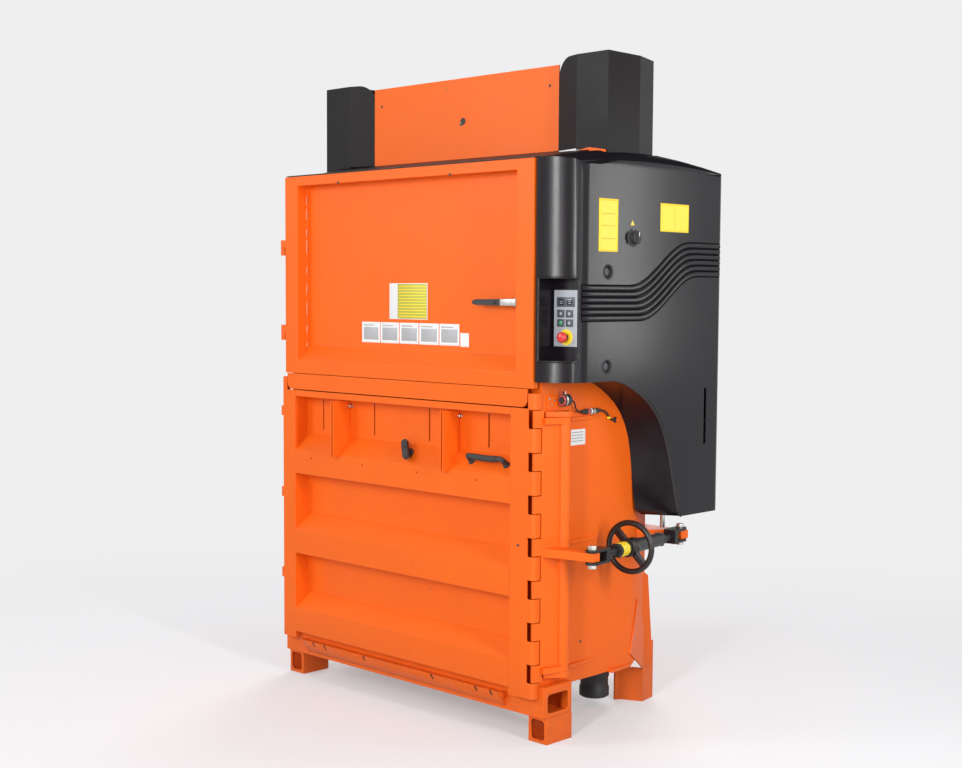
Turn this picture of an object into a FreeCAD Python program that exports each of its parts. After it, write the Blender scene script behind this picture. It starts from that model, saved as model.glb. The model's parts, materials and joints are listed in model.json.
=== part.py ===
"""Vertical recycling baler with crossed press cylinders, feed door, baling door and handwheel lock.

X runs to the machine's right, Y runs back from the front of the doors, Z is height above the floor.
The pieces are laid out from the middle of the front frame, and every finished piece is then shifted
so that the origin is under the middle of the whole machine.
"""
import FreeCAD, Part
import os

import Sketcher

V = FreeCAD.Vector

SIZES = {
    # front frame and chamber
    "front_half": 556.0,
    "chamber_height": 853.0,
    "feed_door_height": 646.0,
    "wall_sheet": 6.0,
    "wall_lap": 15.0,
    "wall_top_drop": 6.0,
    "jamb_setback": 34.0,
    "jamb_width": 48.0,
    "side_depth": 444.0,
    "rear_half": 500.0,
    "body_depth": 590.0,
    "rear_wall_rise": 32.0,
    "floor_sheet": 6.0,
    "floor_setback": 60.0,
    "rail_sheet": 4.0,
    "crossrail_drop": 52.0,
    "crossrail_depth": 54.0,
    "top_rail_height": 28.0,
    "top_rail_depth": 46.0,
    "apron_sheet": 6.0,
    "apron_left": 547.0,
    "apron_right": 537.0,
    "apron_corner": 22.0,
    # base
    "beam_half": 588.0,
    "beam_front": 26.0,
    "beam_depth": 122.0,
    "beam_height": 92.0,
    "beam_sheet": 5.0,
    "foot_width": 72.0,
    "foot_height": 78.0,
    "foot_front": 40.0,
    "foot_length": 110.0,
    "foot_sheet": 6.0,
    "runner_place": 380.0,
    "runner_width": 50.0,
    "runner_height": 60.0,
    "leg_sheet": 6.0,
    "leg_drop": 62.0,
    "leg_side_rise": 16.0,
    "leg_inner_x": 423.0,
    "leg_inner_y": 551.0,
    "leg_fold_x": 434.0,
    "leg_fold_y": 568.0,
    "leg_rear_x": 486.0,
    "leg_rear_y": 665.0,
    "leg_gusset_rise": 247.0,
    "leg_gusset_depth": 42.0,
    "kite_sheet": 5.0,
    "kite_front_rise": 23.0,
    "kite_tip_rise": 177.0,
    "kite_tip_back": 81.0,
    "kite_rear_rise": 82.0,
    "threshold_left": 492.0,
    "threshold_right": 446.0,
    "threshold_depth": 20.0,
    "threshold_height": 12.0,
    "threshold_notch": 9.0,
    "pack_plate_reach": 120.0,
    # roof, guard and hoods
    "roof_lift": 2.0,
    "roof_sheet": 3.0,
    "roof_front": 10.0,
    "roof_flat": 70.0,
    "roof_rise": 41.0,
    "roof_half": 560.0,
    "roof_rear_flat": 620.0,
    "roof_rear_drop": 24.0,
    "guard_y": 267.0,
    "guard_sheet": 4.0,
    "guard_half": 411.0,
    "guard_height": 253.0,
    "guard_eye": 8.0,
    "guard_eye_drop": 142.0,
    "hood_height": 322.0,
    "hood_sheet": 5.0,
    "hood_front": 236.0,
    "hood_inner": 506.0,
    "hood_outer": 625.0,
    "hood_side_depth": 382.0,
    "hood_rear": 490.0,
    "hood_rear_x": 590.0,
    "hood_corner": 60.0,
    "hood_beam_height": 60.0,
    "hood_beam_sheet": 5.0,
    # press
    "cylinder_front": 322.0,
    "cylinder_rear": 427.0,
    "cylinder_pivot_x": 565.0,
    "cylinder_pivot_drop": 62.0,
    "barrel_radius": 45.0,
    "barrel_bore": 35.0,
    "barrel_start": 55.0,
    "barrel_length": 785.0,
    "barrel_eye": 31.0,
    "barrel_eye_width": 40.0,
    "gland_length": 30.0,
    "pivot_pin": 20.0,
    "rod_radius": 25.0,
    "rod_eye": 35.0,
    "rod_eye_width": 36.0,
    "rod_pin": 15.0,
    "rod_pin_length": 52.0,
    "piston_length": 40.0,
    "running_gap": 0.05,
    "seat_gap": 0.3,
    "platen_half": 545.0,
    "platen_front": 84.0,
    "platen_side_depth": 440.0,
    "platen_rear": 580.0,
    "platen_rear_half": 480.0,
    "platen_plate": 15.0,
    "platen_drop": 46.0,
    "platen_rib_height": 70.0,
    "platen_rib_sheet": 6.0,
    "platen_channel": 56.0,
    "platen_low_rib": 22.0,
    "platen_ear_length": 180.0,
    "platen_pivot_x": 380.0,
    "platen_pivot_lift": 55.0,
    "platen_edge_height": 30.0,
    "guide_height": 40.0,
    "guide_length": 60.0,
    # feed door
    "door_gap": 1.5,
    "door_sheet": 4.0,
    "door_depth": 26.0,
    "pan_half": 492.0,
    "pan_depth": 42.0,
    "pan_bottom": 45.0,
    "pan_slope": 48.0,
    "pan_top": 615.0,
    "latch_x": 476.0,
    "latch_lift": 243.0,
    "latch_block_left": 461.0,
    "latch_block_right": 490.0,
    "latch_block_half": 13.0,
    "latch_block_depth": 12.0,
    "latch_lever_length": 169.0,
    "latch_lever_half": 10.0,
    "latch_lever_depth": 14.0,
    "latch_lever_front": 10.0,
    "latch_hub": 11.0,
    "latch_pivot": 6.0,
    "hinge_x": 582.0,
    "hinge_y": 16.0,
    "hinge_knuckle": 11.0,
    "hinge_pin": 5.0,
    "hinge_leaf": 8.0,
    "hinge_leaf_depth": 58.0,
    "feed_hinge_height": 50.0,
    "feed_hinge_low": 109.0,
    "feed_hinge_high": 390.0,
    "bale_hinge_height": 32.0,
    "bale_hinge_top_drop": 144.0,
    "bale_hinge_pitch": 274.0,
    # baling door
    "bale_door_sheet": 5.0,
    "bale_door_drop": 55.0,
    "bale_door_rim": 20.0,
    "bale_door_lap": 35.0,
    "last_rib_lap": 13.0,
    "bale_panel_left": 507.0,
    "bale_panel_right": 474.0,
    "bale_panel_depth": 53.0,
    "flute_panel": 124.0,
    "flute_slope": 57.0,
    "flute_rib": 76.0,
    "flute_second_rib": 79.0,
    "flute_last_slope": 52.0,
    "flute_last_rib": 82.0,
    "last_rib_depth": 22.0,
    "stile_left": 570.0,
    "stile_depth": 28.0,
    "stile_top_drop": 12.0,
    "stile_step": 550.0,
    "lock_stile_side": 568.0,
    "lock_stile_bend": 12.0,
    "lock_stile_step": 541.0,
    "notch_top": 58.0,
    "notch_foot": 11.0,
    "notch_height": 54.0,
    "notch_edge": 542.0,
    "slot_left": 423.0,
    "slot_pitch": 253.7,
    "slot_width": 6.0,
    "slot_top": 85.0,
    "slot_bottom": 185.0,
    "rib_hole": 3.0,
    "rib_hole_drop": 277.0,
    "strap_bracket_left": 302.0,
    "strap_bracket_right": 203.0,
    "strap_bracket_width": 16.0,
    "strap_bracket_sheet": 5.0,
    "strap_bracket_front": 19.0,
    "strap_bracket_top": 80.0,
    "strap_bracket_lap": 6.0,
    "strap_bolt": 5.0,
    "rotary_x": 23.0,
    "rotary_base": 17.0,
    "rotary_base_height": 8.0,
    "rotary_spindle": 6.0,
    "rotary_lever_lift": 18.0,
    "rotary_lever_thickness": 12.0,
    "rotary_lever_length": 84.0,
    "rotary_lever_width": 20.0,
    "rotary_lever_turn": 50.0,
    "pull_left": 287.0,
    "pull_width": 157.0,
    "pull_thickness": 12.0,
    "pull_reach": 34.0,
    # lock column
    "column_x": 588.0,
    "column_y": 103.0,
    "column_radius": 19.0,
    "column_plate": 8.0,
    "column_plate_reach": 76.0,
    "column_tooth_reach": 103.0,
    "column_top_drop": 81.0,
    "column_foot": 38.0,
    "column_lug": 18.0,
    "column_pin": 8.0,
    "column_pin_depth": 40.0,
    "column_bracket": 16.0,
    "column_gap": 0.6,
    "tooth_clearance": 2.5,
    "rib_length": 194.0,
    "rib_start": 43.0,
    "rib_top_drop": 92.0,
    "rib_mid_drop": 450.0,
    "rib_low_drop": 816.0,
    "rib_thickness": 10.0,
    "rear_rib_drop": 866.0,
    "rear_rib_y": 346.0,
    "cable_lead": 26.0,
    # lever arm and turnbuckle
    "lever_x": 712.0,
    "lever_y": 86.0,
    "lever_drop": 454.0,
    "lever_thickness": 25.0,
    "lever_tip": 14.0,
    "lever_tip_half": 16.0,
    "anchor_x": 642.0,
    "anchor_y": 587.0,
    "fork_gap": 1.0,
    "fork_plate": 8.0,
    "fork_radius": 20.0,
    "fork_length": 46.0,
    "fork_web": 20.0,
    "fork_bolt": 8.0,
    "fork_bolt_head": 13.0,
    "fork_bolt_head_height": 11.0,
    "pivot_play": 0.9,
    "rod_thread": 11.0,
    "tube_radius": 20.0,
    "tube_start": 122.0,
    "tube_end": 368.0,
    "rear_rod_end": 200.0,
    "front_rod_end": 250.0,
    "wheel_place": 300.0,
    "wheel_radius": 80.0,
    "wheel_rim": 16.0,
    "wheel_rim_depth": 14.0,
    "wheel_spoke": 20.0,
    "wheel_spoke_depth": 9.0,
    "wheel_hub": 27.0,
    "wheel_hub_length": 44.0,
    "wheel_turn": 45.0,
    "anchor_front_y": 496.0,
    # interlock
    "interlock_y": 55.0,
    "interlock_length": 57.0,
    "interlock_top": 20.0,
    "interlock_height": 40.0,
    "interlock_sheet": 4.0,
    "sensor_radius": 17.0,
    "sensor_length": 26.0,
    "sensor_axis_drop": 34.0,
    "cable_radius": 2.5,
    "connector_radius": 8.0,
    "connector_y": 201.0,
    "connector_length": 82.0,
    "connector_drop": 73.0,
    "cable_clip_y": 360.0,
    "cable_clip_drop": 106.0,
    # side cover and controls
    "cover_gap": 0.3,
    "cover_sheet": 4.0,
    "cover_width": 108.7,
    "cover_crest": 37.7,
    "cover_front_inner": 6.0,
    "cover_front_outer": 70.0,
    "cover_rear": 745.0,
    "cover_rear_corner": 20.0,
    "cover_rim": 630.0,
    "cover_crown_end": 648.0,
    "cover_crown": 687.0,
    "cover_front_bottom": 20.0,
    "cover_tail_bottom": 405.0,
    "cover_tail_inner": 496.0,
    "cover_tail_outer": 558.0,
    "cover_bay_inner": 205.0,
    "cover_bay_outer": 222.0,
    "cover_slot_y": 660.0,
    "cover_slot_width": 12.0,
    "cover_slot_top": 19.0,
    "cover_slot_bottom": 190.0,
    "pocket_inset": 12.7,
    "pocket_back": 66.0,
    "pocket_bottom": 80.0,
    "pocket_top": 312.0,
    "panel_margin": 7.0,
    "panel_top": 279.0,
    "panel_height": 158.0,
    "panel_thickness": 5.0,
    "button_size": 16.0,
    "button_proud": 2.0,
    "button_column_left": 26.0,
    "button_column_right": 58.0,
    "button_row_high": 66.0,
    "button_row_low": 92.0,
    "estop_drop": 132.0,
    "estop_across": 47.0,
    "estop_collar": 22.0,
    "estop_collar_height": 3.0,
    "estop_head": 15.0,
    "estop_stem": 8.0,
    "estop_head_length": 16.0,
    "estop_reach": 30.0,
    "estop_travel": 6.0,
    "switch_y": 301.0,
    "switch_lift": 431.0,
    "switch_knob": 18.0,
    "switch_knob_length": 16.0,
    "switch_stem": 6.0,
    # power pack
    "tank_left": 505.0,
    "tank_width": 140.0,
    "tank_depth": 128.0,
    "tank_top_drop": 120.0,
    "tank_height": 250.0,
    "pack_bracket": 6.0,
    "motor_radius": 58.0,
    "motor_height": 230.0,
    "motor_flange": 12.0,
}

doc = FreeCAD.newDocument("RecyclingBaler")
sheet = doc.addObject("Spreadsheet::Sheet", "Sizes")
for row, (alias, amount) in enumerate(SIZES.items(), start=1):
    sheet.set(f"A{row}", alias)
    sheet.set(f"B{row}", str(amount))
    sheet.setAlias(f"B{row}", alias)
doc.recompute()


class Size:
    """A length or angle: its value now, and the sheet formula that keeps it up to date."""

    def __init__(self, value, text):
        self.value = float(value)
        self.text = text

    @staticmethod
    def of(amount):
        return amount if isinstance(amount, Size) else Size(amount, f"({float(amount)!r})")

    def __add__(self, other):
        other = Size.of(other)
        return Size(self.value + other.value, f"({self.text} + {other.text})")

    def __sub__(self, other):
        other = Size.of(other)
        return Size(self.value - other.value, f"({self.text} - {other.text})")

    def __mul__(self, other):
        other = Size.of(other)
        return Size(self.value * other.value, f"({self.text} * {other.text})")

    def __truediv__(self, other):
        other = Size.of(other)
        return Size(self.value / other.value, f"({self.text} / {other.text})")

    def __neg__(self):
        return Size(-self.value, f"(-1 * {self.text})")

    def __radd__(self, other):
        return Size.of(other) + self

    def __rsub__(self, other):
        return Size.of(other) - self

    def __rmul__(self, other):
        return Size.of(other) * self

    def root(self):
        return Size(self.value ** 0.5, f"sqrt({self.text})")


def heading(across, along):
    """The angle in degrees whose tangent is across over along."""
    from math import atan2, degrees
    across, along = Size.of(across), Size.of(along)
    return Size(degrees(atan2(across.value, along.value)), f"atan2({across.text}; {along.text})")


class Sheet:
    """Each named size of the sheet, as a Size."""

    def __getattr__(self, alias):
        return Size(sheet.get(alias), f"Sizes.{alias}")


S = Sheet()
PLACES = {}
NODES = []
ZERO = Size.of(0)


def bind(target, path, amount):
    target.setExpression(path, Size.of(amount).text)


def put(target, x=0, y=0, z=0, axis=None, angle=None):
    """Set a piece's base point, and its turn about an axis, from sizes."""
    if axis is not None:
        target.Placement = FreeCAD.Placement(V(), FreeCAD.Rotation(V(*axis), Size.of(angle).value))
        if isinstance(angle, Size):
            bind(target, "Placement.Rotation.Angle", angle)
    for letter, amount in zip("xyz", (x, y, z)):
        bind(target, f"Placement.Base.{letter}", amount)
    PLACES[target.Name] = (Size.of(x), Size.of(y), Size.of(z))
    return target


def box(name, xs, ys, zs):
    """A block between two planes each way."""
    block = doc.addObject("Part::Box", name)
    for size, (low, high) in zip(("Length", "Width", "Height"), (xs, ys, zs)):
        bind(block, size, Size.of(high) - low)
    return put(block, xs[0], ys[0], zs[0])


def sides(side, low, high):
    """A span on the right (side 1) or its mirror image on the left (side -1)."""
    return (low, high) if side > 0 else (-Size.of(high), -Size.of(low))


def rod(name, radius, start, length, along="z"):
    """A round bar from a start point along X, Y or Z."""
    bar = doc.addObject("Part::Cylinder", name)
    bind(bar, "Radius", radius)
    bind(bar, "Height", length)
    turn = {"z": (None, None), "y": ((1, 0, 0), -90), "x": ((0, 1, 0), 90)}[along]
    return put(bar, *start, *turn)


def turned(name, radius, start, length, along="z", flats=16):
    """A round piece with no bearing face, as a many-sided bar, which keeps its facets few."""
    bar = doc.addObject("Part::Prism", name)
    bar.Polygon = flats
    bind(bar, "Circumradius", radius)
    bind(bar, "Height", length)
    turn = {"z": (None, None), "y": ((1, 0, 0), -90), "x": ((0, 1, 0), 90)}[along]
    return put(bar, *start, *turn)


def cut(name, base, *tools):
    tool = tools[0] if len(tools) == 1 else fuse(name + "_tools", *tools)
    result = doc.addObject("Part::Cut", name)
    result.Base, result.Tool = base, tool
    return put(result)


def fuse(name, *parts):
    result = doc.addObject("Part::MultiFuse", name)
    result.Shapes = list(parts)
    result.Refine = True
    return put(result)


def group(name, *parts):
    """Like pieces that share a node as separate solids."""
    result = doc.addObject("Part::Compound", name)
    result.Links = list(parts)
    return put(result)


def outline(body, plane, points, holes=(), offset=0):
    """A closed sketch on one of the body's own planes, each corner held by two dimensions."""
    sketch = body.newObject("Sketcher::SketchObject", body.Name + "_outline")
    sketch.AttachmentSupport = ([o for o in body.Origin.OriginFeatures if o.Role == plane + "_Plane"][0], [""])
    sketch.MapMode = "FlatFace"
    bind(sketch, "AttachmentOffset.Base.z", offset)
    for loop, corners in enumerate([points, *[h for h in holes if len(h) > 3 or isinstance(h[0], tuple)]]):
        corners = [(Size.of(a), Size.of(b)) for a, b in corners]
        first = sketch.GeometryCount
        count = len(corners)
        for i in range(count):
            (a, b), (c, d) = corners[i], corners[(i + 1) % count]
            sketch.addGeometry(Part.LineSegment(V(a.value, b.value, 0), V(c.value, d.value, 0)), False)
        for i in range(count):
            sketch.addConstraint(Sketcher.Constraint("Coincident", first + i, 2, first + (i + 1) % count, 1))
        for i, corner in enumerate(corners):
            for kind, letter, amount in (("DistanceX", "x", corner[0]), ("DistanceY", "y", corner[1])):
                number = sketch.addConstraint(Sketcher.Constraint(kind, -1, 1, first + i, 1, amount.value))
                label = f"l{loop}p{i}{letter}"
                sketch.renameConstraint(number, label)
                bind(sketch, f"Constraints.{label}", amount)
    for number, hole in enumerate([h for h in holes if len(h) == 3 and not isinstance(h[0], tuple)]):
        a, b, radius = (Size.of(v) for v in hole)
        circle = sketch.addGeometry(Part.Circle(V(a.value, b.value, 0), V(0, 0, 1), radius.value), False)
        for kind, letter, constraint, amount in (
            ("DistanceX", "x", (-1, 1, circle, 3), a), ("DistanceY", "y", (-1, 1, circle, 3), b), ("Radius", "r", (circle,), radius)):
            index = sketch.addConstraint(Sketcher.Constraint(kind, *constraint, amount.value))
            sketch.renameConstraint(index, f"h{number}{letter}")
            bind(sketch, f"Constraints.h{number}{letter}", amount)
    return sketch


def plate(name, plane, points, low, high, holes=()):
    """A folded or cut plate: an outline padded square to its plane, from low to high along that axis."""
    body = doc.addObject("PartDesign::Body", name)
    low, high = Size.of(low), Size.of(high)
    sketch = outline(body, plane, points, holes, -high if plane == "XZ" else low)
    pad = body.newObject("PartDesign::Pad", name + "_pad")
    pad.Profile = sketch
    bind(pad, "Length", high - low)
    body.Tip = pad
    PLACES[body.Name] = (ZERO, ZERO, ZERO)
    return body


def round_edges(body, radius, pick):
    """Round the edges of a body that pick accepts by their middle point and direction."""
    doc.recompute()
    names = []
    for number, edge in enumerate(body.Tip.Shape.Edges, start=1):
        middle = edge.valueAt((edge.FirstParameter + edge.LastParameter) / 2)
        run = edge.valueAt(edge.LastParameter) - edge.valueAt(edge.FirstParameter)
        if pick(middle, run):
            names.append(f"Edge{number}")
    if not names:
        raise RuntimeError(f"{body.Name}: no edge to round")
    base = body.Tip
    fillet = body.newObject("PartDesign::Fillet", body.Name + "_round")
    fillet.Base = (base, names)
    bind(fillet, "Radius", radius)
    body.Tip = fillet
    return body


def mirrored(side, points):
    """The outline's first coordinate mirrored for the left side."""
    return [(x if side > 0 else -Size.of(x), y) for x, y in points]


def near(a, b):
    return abs(a - Size.of(b).value) < 0.05


# places that several pieces share
beam_top = S.foot_height + S.beam_height
sill = beam_top + S.chamber_height
door_top = sill + S.feed_door_height
wall_out = S.front_half + S.wall_sheet
jamb_in = wall_out - S.jamb_width
wall_top = door_top - S.wall_top_drop
bend_in = wall_out - S.rear_half
bend_back = S.body_depth - S.side_depth
bend_run = (bend_in * bend_in + bend_back * bend_back).root()
sheet_across = S.wall_sheet * bend_run / bend_back
rear_outer = S.body_depth + S.wall_sheet
roof_under = door_top + S.roof_lift
guard_base = roof_under + S.roof_rise + S.roof_sheet
hood_top = wall_top + S.hood_height
platen_low = door_top - S.platen_drop
press_top = platen_low + S.platen_plate + S.platen_rib_height + 2
door_low = beam_top - S.bale_door_lap
column_top = sill - S.column_top_drop
column_low = beam_top + S.column_foot
notch_pitch = (sill - S.notch_top - S.notch_height - beam_top - S.notch_foot) / 6
cover_rim = wall_out + S.cover_gap
cover_outer = cover_rim + S.cover_width
pocket_left = cover_rim + S.pocket_inset
panel_left = pocket_left + S.panel_margin
panel_width = cover_outer - S.panel_margin - panel_left
lever_mid = sill - S.lever_drop - S.lever_thickness / 2
turn_x = S.lever_x - S.anchor_x
turn_y = S.lever_y - S.anchor_y
turn_run = (turn_x * turn_x + turn_y * turn_y).root()
turn_yaw = heading(turn_y, turn_x)
wheel_x = S.anchor_x + turn_x * S.wheel_place / turn_run
right_end = wheel_x - S.wheel_radius * turn_y / turn_run + S.wheel_rim_depth * turn_x / turn_run / 2
left_end = -S.hood_outer
front_end = -S.strap_bracket_front
centre_x = (left_end + right_end) / 2
centre_y = (front_end + S.cover_rear) / 2


def node(piece, label):
    """Name a finished piece and shift it to the machine's own origin."""
    x, y, z = PLACES[piece.Name]
    bind(piece, "Placement.Base.x", x - centre_x)
    bind(piece, "Placement.Base.y", y - centre_y)
    bind(piece, "Placement.Base.z", z)
    piece.Label = label
    NODES.append(piece)
    return piece


def build_chamber():
    """The folded side walls with their jambs, the rear wall, the floor and the rails across the front."""
    inner_bend = S.side_depth + (S.wall_sheet - sheet_across) * bend_back / bend_in
    for side, label in ((1, "side_wall_right"), (-1, "side_wall_left")):
        skin = plate(label + "_skin", "XY", mirrored(side, [
            (jamb_in, S.jamb_setback), (wall_out, S.jamb_setback), (wall_out, S.side_depth), (S.rear_half, S.body_depth),
            (S.rear_half - sheet_across, S.body_depth), (S.front_half, inner_bend),
            (S.front_half, S.jamb_setback + S.wall_sheet), (jamb_in, S.jamb_setback + S.wall_sheet)]), beam_top - S.wall_lap, wall_top)
        beam_notch = box(label + "_notch", sides(side, jamb_in - 1, wall_out + 1), (0, S.beam_front + S.beam_depth), (0, beam_top))
        beam = box(label + "_beam", sides(side, wall_out, S.hood_outer), (S.hood_front, S.side_depth), (wall_top - S.hood_beam_height, wall_top))
        hollow = box(label + "_beam_hollow", sides(side, wall_out + S.hood_beam_sheet, S.hood_outer - S.hood_beam_sheet),
                     (S.hood_front - 1, S.side_depth + 1), (wall_top - S.hood_beam_height + S.hood_beam_sheet, wall_top - S.hood_beam_sheet))
        pieces = [cut(label + "_cut", skin, beam_notch), cut(label + "_box_beam", beam, hollow)]
        if side > 0:
            clip_z = sill - S.cable_clip_drop
            pieces.append(box("cable_clip", (wall_out - 1, wall_out + S.cable_radius * 4), (S.cable_clip_y, S.cable_clip_y + 12),
                              (clip_z - S.cable_radius * 2, clip_z + S.cable_radius * 2)))
        node(fuse(label + "_weldment", *pieces), label)

    rear = box("rear_sheet", (-S.rear_half, S.rear_half), (S.body_depth, rear_outer), (beam_top - S.wall_lap, wall_top + S.rear_wall_rise))
    mount = box("pack_plate", (S.rear_half - S.pack_plate_reach, S.tank_left + S.tank_width), (rear_outer, rear_outer + S.pack_bracket),
                (sill - S.tank_top_drop - S.tank_height, sill - S.tank_top_drop + 20))
    node(fuse("rear_wall_weldment", rear, mount), "rear_wall")

    node(plate("floor_plate", "XY", [
        (-S.front_half, S.floor_setback), (S.front_half, S.floor_setback), (S.front_half, inner_bend),
        (S.rear_half - sheet_across, S.body_depth), (sheet_across - S.rear_half, S.body_depth), (-S.front_half, inner_bend)],
        beam_top, beam_top + S.floor_sheet), "floor_plate")

    rails = []
    for name, front, depth, low, high in (
            ("crossrail", S.apron_sheet, S.crossrail_depth, sill - S.crossrail_drop, sill),
            ("top_rail", S.jamb_setback, S.top_rail_depth, roof_under - S.top_rail_height, roof_under)):
        t = S.rail_sheet
        rails.append(cut(name, box(name + "_outer", (-jamb_in, jamb_in), (front, front + depth), (low, high)),
                         box(name + "_inner", (-jamb_in - 1, jamb_in + 1), (front + t, front + depth - t), (low + t, high - t))))
    node(group("front_rails", *rails), "front_rails")

    apron = plate("apron", "XZ", [(-S.apron_left, sill), (-S.apron_left, sill - S.crossrail_drop),
                                  (S.apron_right, sill - S.crossrail_drop), (S.apron_right, sill)], 0, S.apron_sheet)
    low = (sill - S.crossrail_drop).value
    node(round_edges(apron, S.apron_corner, lambda m, r: abs(r.x) + abs(r.z) < 0.01 and near(m.z, low)), "apron")


def build_base():
    """The front beam on its two feet, the floor runners, the rear legs and the threshold strip."""
    t = S.beam_sheet
    back = S.beam_front + S.beam_depth
    node(cut("front_beam", box("beam_outer", (-S.beam_half, S.beam_half), (S.beam_front, back), (S.foot_height, beam_top)),
             box("beam_inner", (-S.beam_half - 1, S.beam_half + 1), (S.beam_front + t, back - t), (S.foot_height + t, beam_top - t))), "front_beam")

    feet = []
    for side in (1, -1):
        f = S.foot_sheet
        name = f"foot_{'right' if side > 0 else 'left'}"
        feet.append(cut(name, box(name + "_outer", sides(side, S.beam_half - S.foot_width, S.beam_half),
                                  (S.foot_front, S.foot_front + S.foot_length), (0, S.foot_height)),
                        box(name + "_inner", sides(side, S.beam_half - S.foot_width + f, S.beam_half - f),
                            (S.foot_front - 1, S.foot_front + S.foot_length + 1), (f, S.foot_height - f))))
    node(group("front_feet", *feet), "front_feet")

    runners = [box(f"runner_{side}", sides(side, S.runner_place, S.runner_place + S.runner_width),
                   (back, S.body_depth - 10), (beam_top - S.runner_height, beam_top)) for side in (1, -1)]
    node(group("floor_runners", *runners), "floor_runners")

    legs = []
    for side in (1, -1):
        name = f"leg_{'right' if side > 0 else 'left'}"
        corner_x, corner_y = S.rear_half - 1, rear_outer
        t = S.leg_sheet
        fold = plate(name + "_fold", "XY", mirrored(side, [
            (S.leg_inner_x, S.leg_inner_y), (S.leg_fold_x, S.leg_fold_y), (corner_x, corner_y), (S.leg_rear_x, S.leg_rear_y),
            (S.leg_rear_x - t, S.leg_rear_y), (corner_x - t, corner_y + t), (S.leg_fold_x - t, S.leg_fold_y + t), (S.leg_inner_x - t, S.leg_inner_y)]),
            0, beam_top - S.leg_drop)
        cheek = plate(name + "_cheek", "XY", mirrored(side, [
            (corner_x, corner_y), (S.leg_rear_x, S.leg_rear_y), (S.leg_rear_x - t, S.leg_rear_y), (corner_x - t, corner_y)]), 0, beam_top + S.leg_side_rise)
        gusset = plate(name + "_gusset", "YZ", [
            (corner_y, beam_top - S.leg_drop), (corner_y + S.leg_gusset_depth, beam_top - S.leg_drop), (corner_y + S.leg_gusset_depth, beam_top + S.leg_side_rise + 14),
            (corner_y + S.leg_gusset_depth / 2, beam_top + S.leg_gusset_rise - 13), (corner_y, beam_top + S.leg_gusset_rise)],
            *sides(side, corner_x - t, corner_x))
        legs.append(fuse(name, fold, cheek, gusset))
        slant = heading(bend_in, bend_back)
        kite = plate(name + "_kite", "YZ", [
            (ZERO, beam_top + S.kite_front_rise), (S.kite_tip_back, beam_top + S.kite_tip_rise), (bend_run, beam_top + S.kite_rear_rise),
            (bend_run, beam_top - S.leg_drop)], *sides(side, ZERO, S.kite_sheet))
        legs.append(put(group(name + "_kite_plate", kite), side * wall_out, S.side_depth, 0, (0, 0, 1), side * slant))
    node(group("rear_legs", *legs), "rear_legs")

    top = door_low - 3
    strip = box("threshold_strip", (-S.threshold_left, S.threshold_right), (S.beam_front - S.threshold_depth, S.beam_front), (top - S.threshold_height, top))
    notches = []
    for number, place in enumerate((0.03, 0.075, 0.24, 0.60, 0.82, 0.93)):
        x = (S.threshold_left + S.threshold_right) * place - S.threshold_left
        n = S.threshold_notch
        notches.append(plate(f"threshold_notch_{number}", "XY", [(x - n, S.beam_front - S.threshold_depth - 1),
                                                                (x + n, S.beam_front - S.threshold_depth - 1), (x, S.beam_front - S.threshold_depth + n)],
                             top - S.threshold_height - 1, top + 1))
    node(cut("threshold_rail", strip, *notches), "threshold_rail")


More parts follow.
